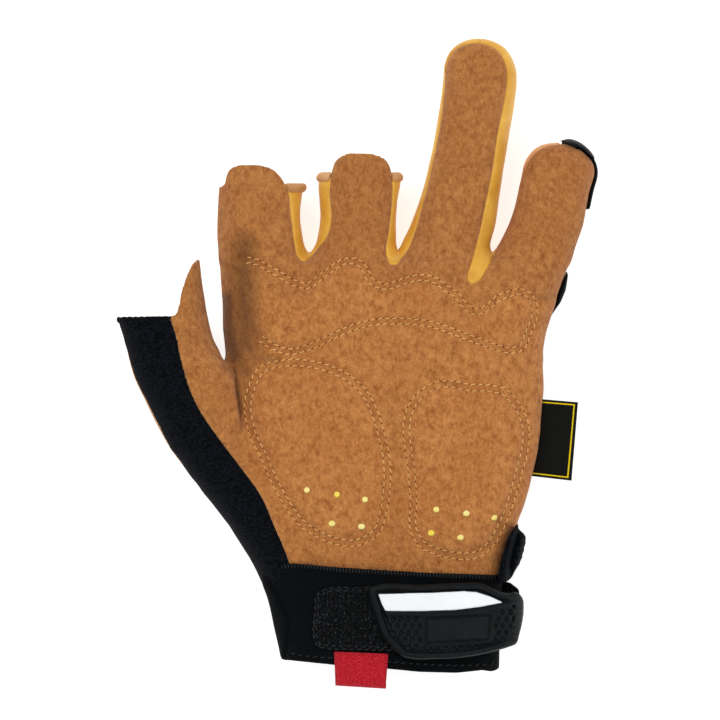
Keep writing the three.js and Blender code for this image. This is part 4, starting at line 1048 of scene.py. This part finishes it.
STEP_COLUMNS = (511, 516)
TAB_RIM_RISE = 0.75
MOAT_DEPTH = 0.6
RIDGE_RISE = 0.55
RIDGE_WIDTH = 0.75
PLATE_RISE = 0.35
GROOVE_DEPTH = 0.45
DIMPLE_DEPTH = 0.65
DIMPLE_PITCH = (2.66, 2.45)
DIMPLE_SIZE = (0.78, 1.12)
DIMPLE_LIP = (1.12, 0.7)
GRIP_RISE = 0.25
GRIP_PITCH = 2.3
DIMPLE_SHADE = 0.55
GROOVE_SHADE = 0.8
PANEL_RISE = 0.5
PANEL_THICK = 0.9

# Where those begin and end, as distances from an outline, negative inside it
TAB_RIM = ((-0.1, -0.7), (-2.6, -2.0))
MOAT = ((-2.2, -2.6), (-3.4, -3.0))
RIDGE_INSIDE = (-3.2, -3.6)
PLATE_EDGE = (0.1, -0.3)
PLATE_GROOVE = ((-0.9, -1.15), (-1.8, -1.55))
DIMPLES_BELOW = (-0.8, -1.2)
DIMPLES_OFF_PLATE = (0.4, 0.7)
DIMPLES_INSIDE = (-3.0, -3.4)


def dimple_field(x, y):
    """Staggered upright oval dimples, 1 in their middles."""
    pitch_x, pitch_y = DIMPLE_PITCH
    wide, high = DIMPLE_SIZE
    row = np.round(y / pitch_y)
    shift = np.where(row % 2 == 0, 0.0, pitch_x / 2)
    column = np.round((x - shift) / pitch_x)
    away = np.hypot((x - shift - column * pitch_x) / wide, (y - row * pitch_y) / high)
    return ease(*DIMPLE_LIP, away)


def strip(distance, start, end):
    """1 in a strip along an outline: it begins over one pair of distances and ends over another."""
    return ease(*start, distance) * ease(*end, distance)


def tab_relief(x, y):
    """Height of the moulded closure tab above its base, and how dark it is in its hollows."""
    outline = line_distance(curve(TAB_OUTLINE, closed=True), x, y, closed=True)
    rimmed = by_column(RIM_COLUMNS, x)
    height = TAB_THICK + TAB_RIM_RISE * strip(outline, *TAB_RIM) * rimmed
    height = height - MOAT_DEPTH * strip(outline, *MOAT) * rimmed
    ridge = near(line_distance(curve(RIDGE_LINE), x, y), RIDGE_WIDTH)
    height = height + RIDGE_RISE * ease(*RIDGE_INSIDE, outline) * ridge
    plate = line_distance(plan(PLATE_OUTLINE), x, y, closed=True)
    groove = strip(plate, *PLATE_GROOVE)
    height = height + PLATE_RISE * ease(*PLATE_EDGE, plate) - GROOVE_DEPTH * groove
    below_line = np.concatenate([curve(RIDGE_LINE), plan(RIDGE_CLOSE)])
    below = line_distance(below_line, x, y, closed=True)
    dimples = dimple_field(x, y) * ease(*DIMPLES_BELOW, below) * ease(*DIMPLES_OFF_PLATE, plate)
    dimples = dimples * ease(*DIMPLES_INSIDE, outline)
    steps = ripple(y, GRIP_PITCH) * by_column(STEP_COLUMNS, x)
    shade = np.maximum(DIMPLE_SHADE * dimples, GROOVE_SHADE * groove)
    return height - DIMPLE_DEPTH * dimples + GRIP_RISE * steps, shade


def tab_pieces():
    block = TAB_SPACE
    base = tube(block, CUFF, CUFF_ROUND, grow=STRAP_GROW)
    outline = block.from_line(curve(TAB_OUTLINE, closed=True), closed=True)
    height = tab_relief(block.x[:, :, 0], block.y[:, :, 0])[0][:, :, None]
    field = blend_max(np.maximum(base - height, -base), outline, TAB_ROUND)
    field = np.maximum(field, CUFF_SPLIT - TAB_DROP - block.z)
    tab = field_object("closure_tab_moulding", block, field)
    x, y = vertices(tab).T[:2]
    give(tab, "dark", tab_relief(x, y)[1])
    dress(tab, "moulded_rubber", RUBBER_FINISH, "closure_tab")
    panel = block.from_line(plan(ID_OUTLINE), closed=True)
    field = blend_max(shell(base, TAB_THICK + PANEL_RISE, PANEL_THICK), panel, EDGE_ROUND)
    dress(field_object("write_on_panel", block, field), "id_gloss", WHITE_FINISH, "id_panel")


cuff_pieces()
tab_pieces()

# Moulded guards on the back of the hand
GUARD_OUTLINE = [
    (249, 384), (319, 402), (447, 399), (524, 365), (543, 333), (552, 315), (561, 302), (566, 290),
    (569, 271), (558, 274), (518, 282), (435, 291), (336, 282), (256, 291), (240, 330),
]
PINKY_GUARD = [(556, 120), (560, 150), (566, 175), (566, 215), (560, 255), (640, 255), (640, 120)]

# Each finger's guard from its lowest row to its highest one
FINGER_GUARDS = {"index": (252, 198), "middle": (250, 193), "ring": (218, 68), "pinky": (250, 134)}
GUARD_HALF = 7.15
GUARD_SKIN = 0.3
GUARD_CLEAR = 0.25
GUARD_GAP = 0.4
GUARD_FLOOR = 0.06
GUARD_ROUND = 1.2
GUARD_LIP = 1.5
FINGER_GUARD_ROUND = 5.0
GROOVE_SHARE = 0.3
GROOVE_CREST = (0.55, 0.95)
GROOVE_INSET = (-2, -4)
RING_CREST = (0.5, 0.95)
KNUCKLE_THICK = 3.6
KNUCKLE_PITCH = 5.2
FINGER_THICK = 2.3
RING_PITCH = 6.0

# The little finger's guard swells towards the outside and below the heights PINKY_LOW
PINKY_THICK = 0.3
PINKY_SWELL = 0.95
PINKY_COLUMNS = (556, 572)
PINKY_LOW = (12, 8)
PINKY_LOW_THICK = 1.1
PINKY_STOP = 4
PINKY_STOP_ROWS = (208, 216)
PINKY_ABOVE = 12.0


def guard_piece(name, zone, thick, grooves, node, above_split=0.0):
    outer = GUARD_SKIN + thick * (1 - GROOVE_SHARE * grooves)
    field = blend_max(np.maximum(SKIN - outer, GUARD_CLEAR - SKIN), zone, GUARD_ROUND)
    field = blend_max(field, SPACE.z - SPLIT - above_split, GUARD_LIP)
    field = np.maximum(field, GUARD_FLOOR - SPACE.z)
    part, block = crop(field < 1)
    dress(field_object(name, block, field[part]), "moulded_rubber", RUBBER_FINISH, node)


def pinky_guard(rows, rings):
    """Wraps the little finger's outer side, and past PINKY_STOP_ROWS only its lowest part."""
    side = SPACE.from_line(plan(PINKY_GUARD), closed=True)
    low = ease(*PINKY_LOW, SPACE.z)
    thick = PINKY_THICK + PINKY_SWELL * by_column(PINKY_COLUMNS, SPACE.x)
    thick = thick - PINKY_STOP * by_row(PINKY_STOP_ROWS, SPACE.y) * (1 - low) + PINKY_LOW_THICK * low
    zone = np.maximum(np.maximum(rows, side), GUARD_CLEAR - IN_SUEDE)
    guard_piece("pinky_guard_moulding", zone, thick, rings * low, "pinky_guard", PINKY_ABOVE)


def guards():
    outline = SPACE.from_line(plan(GUARD_OUTLINE), closed=True)
    grooves = ease(*GROOVE_CREST, ripple(SPACE.x, KNUCKLE_PITCH)) * ease(*GROOVE_INSET, outline)
    guard_piece("knuckle_moulding", outline, KNUCKLE_THICK, grooves, "knuckle_guard")
    rings = ease(*RING_CREST, ripple(SPACE.y, RING_PITCH))
    for name, (low_row, high_row) in FINGER_GUARDS.items():
        rows = np.maximum(row_y(low_row) - SPACE.y, SPACE.y - row_y(high_row))
        if name == "pinky":
            pinky_guard(rows, rings)
            continue
        beside = SPACE.from_line(curve(SPINES[name])) - GUARD_HALF
        zone = np.maximum(blend_max(rows, beside, FINGER_GUARD_ROUND), GUARD_GAP - outline)
        guard_piece(f"{name}_guard_moulding", zone, FINGER_THICK, rings, f"{name}_guard")


guards()

# Sewing, punched dots and the small parts at the edges
SKY = 80.0
STITCH = 1.95
STITCH_PITCH = 2.6
THREAD = 0.5
STITCH_SLANT = 13.0
STITCH_ARCH = 0.3
STITCH_SINK = 0.12
STITCH_TURNS = (0.3, 1.7)
STITCH_LENGTHS = (0.85, 1.1)
# Size and height of the dark domes that are painted shadows of the needle holes
HOLE = 0.56
HOLE_HEIGHT = 0.2
STEEPEST = 0.25
READ_STEP = 0.4

# Shares of a bead's half length and half width, from one end to the other
CAPSULE = [(-0.85, 0.55), (-0.5, 0.88), (0.0, 1.0), (0.5, 0.88), (0.85, 0.55)]
CAPSULE_SIDES = 6


def tree_of(obj):
    """A search tree over a piece, in millimetres."""
    faces = [tuple(face.vertices) for face in obj.data.polygons]
    return BVHTree.FromPolygons(vertices(obj).tolist(), faces)


def drop(tree, x, y):
    """Place and normal where a line straight down from above meets a piece."""
    hit, normal, _, _ = tree.ray_cast(Vector((x, y, SKY)), Vector((0, 0, -1)))
    return hit, normal


def along(line, pitch, closed=False, shift=0.5):
    """Even places along a line, with the direction there."""
    run_line = np.concatenate([line, line[:1]]) if closed else line
    run = np.concatenate([[0.0], np.cumsum(np.hypot(*np.diff(run_line, axis=0).T))])
    count = max(1, int(round(run[-1] / pitch)))
    at = (np.arange(count) + shift) * run[-1] / count
    before, here, after = (
        np.stack([np.interp(at + d, run, run_line[:, i]) for i in (0, 1)], axis=1)
        for d in (-READ_STEP, 0.0, READ_STEP)
    )
    direction = after - before
    return here, direction / np.linalg.norm(direction, axis=1)[:, None]


def inset(line, distance, closed=False):
    """A line moved to its right, seen from above."""
    if closed:
        forward = np.roll(line, -1, axis=0) - np.roll(line, 1, axis=0)
    else:
        forward = np.gradient(line, axis=0)
    forward = forward / np.linalg.norm(forward, axis=1)[:, None]
    return line + distance * np.stack([forward[:, 1], -forward[:, 0]], axis=1)


def bead_faces(first):
    """Triangles of one bead: its ends are points first and first + 1, and rings follow."""
    faces = []
    for k in range(CAPSULE_SIDES):
        after = (k + 1) % CAPSULE_SIDES
        faces.append((first, first + 2 + after, first + 2 + k))
        last = first + 2 + (len(CAPSULE) - 1) * CAPSULE_SIDES
        faces.append((first + 1, last + k, last + after))
        for ring in range(len(CAPSULE) - 1):
            low = first + 2 + ring * CAPSULE_SIDES
            high = low + CAPSULE_SIDES
            faces.append((low + k, low + after, high + after))
            faces.append((low + k, high + after, high + k))
    return faces


def beads(name, tree, places, size, material, slot, lift, sink, slant=0.0):
    """Small rounded bars laid on a piece: places are (x, y, direction), size is length, width and height."""
    width, height = size[1:]
    points, faces = [], []
    random = np.random.default_rng(len(places))
    for (x, y), (dx, dy) in places:
        hit, up = drop(tree, x, y)
        turn = math.radians(slant * random.uniform(*STITCH_TURNS))
        length = size[0] * random.uniform(*STITCH_LENGTHS)
        if hit is None or up.z < STEEPEST:
            continue
        cos, sin = math.cos(turn), math.sin(turn)
        forward = Vector((dx * cos - dy * sin, dx * sin + dy * cos, 0))
        forward = (forward - up * forward.dot(up)).normalized()
        side = up.cross(forward)
        faces += bead_faces(len(points))
        for u in (-1, 1):
            points.append(hit + forward * u * length / 2 + up * (lift * (1 - u * u) - sink))
        for u, share in CAPSULE:
            middle = hit + forward * (u * length / 2) + up * (lift * (1 - u * u) - sink)
            for k in range(CAPSULE_SIDES):
                angle = 2 * math.pi * k / CAPSULE_SIDES
                points.append(middle + side * (math.cos(angle) * share * width / 2)
                              + up * (math.sin(angle) * share * height / 2))
    return dress(mesh_object(name, points, faces), slot, material)


def sew(name, tree, rows, thread, slot, hole_shadows=True):
    """Stitches along lines, with a small dark dome between each two: a painted shadow of the needle hole."""
    stitches, gaps = [], []
    for line, closed in rows:
        stitches += list(zip(*along(line, STITCH_PITCH, closed)))
        gaps += list(zip(*along(line, STITCH_PITCH, closed, shift=0.0)))
    beads(name, tree, stitches, (STITCH, THREAD, THREAD), thread, slot, STITCH_ARCH, STITCH_SINK,
          STITCH_SLANT)
    if hole_shadows:
        beads(name + "_holes", tree, gaps, (HOLE, HOLE, HOLE_HEIGHT), HOLE_SHADOW_FINISH, slot, 0.0, 0.0)


DOTS = [
    (307, 489.5), (337, 494), (365, 499), (332, 523), (361.5, 526), (436, 509), (466, 513), (494, 517.5),
    (431, 532.5), (460, 537),
]
DOT_WIDTH = 2.3
DOT_HEIGHT = 0.3
FINE_CURVE = 0.8
PAD_SECOND_ROW = 2.0


def palm_sewing():
    tree = tree_of(palm_piece)
    knuckle = curve(KNUCKLE_PAD, FINE_CURVE)
    rows = [(knuckle, False), (inset(knuckle, PAD_SECOND_ROW), False)]
    for pad in (LEFT_PAD, RIGHT_PAD):
        line = curve(pad, FINE_CURVE, closed=True)
        x, y = line.T
        turning = np.sum(x * np.roll(y, -1) - y * np.roll(x, -1))
        rows += [(line, True), (inset(line, -math.copysign(ROW_GAP, turning), closed=True), True)]
    sew("palm_stitches", tree, rows, THREAD_FINISH, "suede")
    dots = [(place, (1.0, 0.0)) for place in plan(DOTS)]
    size = (DOT_WIDTH, DOT_WIDTH, DOT_HEIGHT)
    beads("punched_dots", tree, dots, size, FOAM_FINISH, "yellow_leather", 0.0, 0.0)


palm_sewing()


def slab(name, middle, thick, slot, material, *nodes):
    """A sheet with thickness, from a grid of places along its middle."""
    rows, columns = middle.shape[:2]
    normal = np.cross(np.gradient(middle, axis=0), np.gradient(middle, axis=1))
    normal /= np.linalg.norm(normal, axis=2)[:, :, None]
    points = np.concatenate([(middle + side * normal * thick / 2).reshape(-1, 3) for side in (1, -1)])
    grid = np.arange(rows * columns).reshape(rows, columns)
    sheet = np.stack([grid[:-1, :-1], grid[1:, :-1], grid[1:, 1:], grid[:-1, 1:]], axis=-1).reshape(-1, 4)
    rim = np.concatenate([grid[0, :-1], grid[:-1, -1], grid[-1, :0:-1], grid[:0:-1, 0]])
    after = np.roll(rim, -1)
    below = rows * columns
    walls = np.stack([rim, after, after + below, rim + below], axis=-1)
    faces = np.concatenate([sheet, sheet[:, ::-1] + below, walls])
    return dress(mesh_object(name, points, faces), slot, material, *nodes)


PULL_TOP = ((334.5, 650.5), (388.3, 652.8))
PULL_LOW = ((335.7, 677.5), (386.0, 680.5))
PULL_THICK = 1.1
PULL_CLEAR = 0.3
PULL_ROWS = 6
PULL_COLUMNS = 12
PULL_TURNS = 8


def pull_tab(cuff_tree):
    """Webbing folded round the hem: outside, round the fold and back up inside."""
    across = np.linspace(0, 1, PULL_COLUMNS)[None, :, None]
    top, low = (np.array(plan(ends))[:, None, None, :] for ends in (PULL_TOP, PULL_LOW))
    first = top[0] * (1 - across) + top[1] * across
    last = low[0] * (1 - across) + low[1] * across
    lift = PULL_THICK / 2 + PULL_CLEAR
    hem = first[0] * 0.5 + last[0] * 0.5
    height = np.array([drop(cuff_tree, x, y)[0].z for x, y in hem]) + lift
    radius = CUFF_WALL / 2 + lift
    down = np.linspace(0, 1, PULL_ROWS)[:, None, None]
    outside = first * (1 - down) + last * down
    rows = [np.column_stack([row, height]) for row in outside]
    for angle in np.linspace(0, math.pi, PULL_TURNS)[1:-1]:
        turned = last[0] - np.array([0, radius * math.sin(angle)])
        rows.append(np.column_stack([turned, height - radius * (1 - math.cos(angle))]))
    rows += [row - np.array([0, 0, 2 * radius]) for row in rows[PULL_ROWS - 1::-1]]
    tab = slab("red_pull_tab", np.array(rows), PULL_THICK, "red_webbing", RED_FINISH, "pull_tab")


LABEL_CORNERS = ((541.5, 399.2), (577.8, 402.2), (530.0, 475.8), (571.3, 480.6))
LABEL_HEIGHT = 21.5
LABEL_SAG = 0.9
LABEL_BULGE = 0.35
LABEL_THICK = 0.8
LABEL_COLUMNS = 9
LABEL_ROWS = 16
LABEL_FRAME = [(0.0, 0.03), (0.92, 0.03), (0.92, 0.97), (0.0, 0.97)]
FRAME_LINE = (0.035, 0.016)
FRAME_RISE = 0.16


def label_place(u, v):
    """A place on the label: u from the seam outwards, v from its top downwards, each from 0 to 1."""
    a, b, c, d = plan(LABEL_CORNERS)
    u, v = (np.asarray(t, float)[..., None] for t in (u, v))
    spot = (a * (1 - u) + b * u) * (1 - v) + (c * (1 - u) + d * u) * v
    height = LABEL_HEIGHT - LABEL_SAG * u * u + LABEL_BULGE * np.sin(v * math.pi)
    return np.concatenate([spot, height], axis=-1)


def label():
    u, v = np.meshgrid(np.linspace(0, 1, LABEL_COLUMNS), np.linspace(0, 1, LABEL_ROWS))
    tag = slab("side_tag", label_place(u, v), LABEL_THICK, "label_fabric", LABEL_FINISH, "side_label")
    lines = []
    for side in (0, 1):
        corners = np.array(LABEL_FRAME, float)
        corners[:, 0] -= side * np.array([0, 1, 1, 0]) * FRAME_LINE[0]
        corners[:, 1] += side * np.array([1, 1, -1, -1]) * FRAME_LINE[1]
        runs = [np.linspace(corners[i], corners[i + 1], LABEL_COLUMNS)[:-1] for i in range(3)]
        lines.append(np.concatenate([*runs, corners[-1:]]))
    frame_line = np.stack([label_place(line[:, 0], line[:, 1]) for line in lines], axis=1)
    border = slab("side_tag_border", frame_line, LABEL_THICK + FRAME_RISE, "label_fabric", MARK_FINISH)


BINDING_OUTLINE = [
    (517.5, 523), (520.5, 530.5), (526.5, 535.5), (529, 543), (528, 550), (523.3, 560), (515, 571),
    (509, 581), (498, 582), (498.5, 570), (502, 557), (505, 546), (508.5, 536), (512, 530),
]
BINDING_GROOVE = [(519, 527), (514, 546), (511.5, 557), (509, 580)]
BINDING_RISE = 5.2
BINDING_GROOVE_DEPTH = 2.2
BINDING_GROOVE_WIDTH = 1.0
BINDING_LOW = 8.0
BINDING_CLEAR = 0.3
BINDING_ROUND = 2.4
RIB_RISE = 0.25
RIB_PITCH = 2.4
RIB_START = (1.5, 2.5)


def wrist_binding():
    """A padded fold of knit that shows past the suede beside the wrist."""
    outline = SPACE.from_line(curve(BINDING_OUTLINE, closed=True), closed=True)
    groove = SPACE.from_line(curve(BINDING_GROOVE))
    rise = BINDING_RISE - BINDING_GROOVE_DEPTH * near(groove, BINDING_GROOVE_WIDTH)
    ribs = RIB_RISE * ripple(SPACE.y, RIB_PITCH) * ease(*RIB_START, groove)
    field = np.maximum(SKIN - rise - ribs, UNDER_DROP + BINDING_CLEAR - SKIN)
    field = blend_max(field, outline, BINDING_ROUND)
    field = np.maximum(field, BINDING_LOW - SPACE.z)
    part, block = crop(field < 1)
    pad = field_object("wrist_fold", block, field[part])
    dress(pad, "black_knit", KNIT_FINISH, "wrist_binding")


CUFF_TOP = [(268, 569), (291, 565), (337, 568.8), (420, 573.8), (496, 576.8)]
HEM_SEAM = [(290, 652), (310, 655.5), (334, 657), (400, 661.5), (440, 664), (470, 664.5), (495, 663)]
PATCH_SEAMS = (-0.5, -1.6)
OVERLOCK = (1.9, 0.55, 0.5)
OVERLOCK_PITCH = 1.15
OVERLOCK_ARCH = 0.15
OVERLOCK_SINK = 0.1
OVERLOCK_SLANT = 12.0


def cuff_sewing():
    cuff_tree = tree_of(bpy.data.objects["cuff_shell"])
    pull_tab(cuff_tree)
    patch = curve(PATCH_OUTLINE, FINE_CURVE, closed=True)
    rows = [(inset(patch, -d, closed=True), True) for d in PATCH_SEAMS]
    patch_tree = tree_of(bpy.data.objects["loop_field"])
    sew("patch_stitches", patch_tree, rows, DARK_THREAD, "loop_fabric", hole_shadows=False)
    spots, ahead = along(curve(CUFF_TOP), OVERLOCK_PITCH)
    hatch = list(zip(spots, ahead @ np.array([[0, 1], [-1, 0]])))
    beads("cuff_overlock", cuff_tree, hatch, OVERLOCK, DARK_THREAD, "cuff_fabric",
          OVERLOCK_ARCH, OVERLOCK_SINK, OVERLOCK_SLANT)
    sew("hem_stitches", cuff_tree, [(curve(HEM_SEAM), False)], DARK_THREAD, "cuff_fabric", hole_shadows=False)


cuff_sewing()
label()
wrist_binding()

# Lights: place and size in metres, and power in watts
LIGHTS = {"key": ((-0.5, 0.6, 1.3), 0.9, 8.5), "fill": ((0.8, -0.2, 1.1), 1.2, 5.0)}
SKY_LIGHT = 0.62
FLOOR_HALF = 3.0
FLOOR_GLOW = 0.72
FLOOR_TONES = ((0.6, 0.6, 0.6, 1), (0.62, 0.62, 0.62, 1))
WHITE = (1, 1, 1, 1)


def floor():
    corners = [(x * FLOOR_HALF, y * FLOOR_HALF, 0) for x, y in ((-1, -1), (1, -1), (1, 1), (-1, 1))]
    mesh = bpy.data.meshes.new("floor")
    mesh.from_pydata(corners, [], [(0, 1, 2, 3)])
    ground = bpy.data.objects.new("floor", mesh)
    bpy.context.scene.collection.objects.link(ground)
    paint = Paint("pale_floor", roughness=0.9, specular=0.1)
    paint.shader.inputs["Emission Color"].default_value = WHITE
    paint.shader.inputs["Emission Strength"].default_value = FLOOR_GLOW
    color = paint.mix(*FLOOR_TONES, paint.noise(size=40, detail=2))
    ground.data.materials.append(paint.finish(color, paint.noise(size=3, detail=2), depth=0.01))


def lights():
    world = bpy.data.worlds.new("studio")
    bpy.context.scene.world = world
    world.use_nodes = True
    world.node_tree.nodes["Background"].inputs["Color"].default_value = WHITE
    world.node_tree.nodes["Background"].inputs["Strength"].default_value = SKY_LIGHT
    for name, (place, size, power) in LIGHTS.items():
        light = bpy.data.lights.new(name, "AREA")
        light.size = size
        light.energy = power
        lamp = bpy.data.objects.new(name, light)
        lamp.location = place
        lamp.rotation_euler = (-Vector(place)).to_track_quat("-Z", "Y").to_euler()
        bpy.context.scene.collection.objects.link(lamp)


LENS = 900
SENSOR = 36
GLOVE_MIDDLE = 18
CLIP_END = 20


def camera():
    """Looks straight down from far off, with the photograph's middle pixel in the middle."""
    data = bpy.data.cameras.new("camera")
    data.lens = LENS
    data.sensor_width = SENSOR
    data.clip_end = CLIP_END
    distance = PICTURE * PIXEL * MM * LENS / SENSOR
    eye = bpy.data.objects.new("camera", data)
    eye.location = (column_x(PICTURE / 2) * MM, row_y(PICTURE / 2) * MM, distance + GLOVE_MIDDLE * MM)
    bpy.context.scene.collection.objects.link(eye)
    bpy.context.scene.camera = eye
    bpy.context.scene.view_settings.view_transform = "Standard"


floor()
lights()
camera()
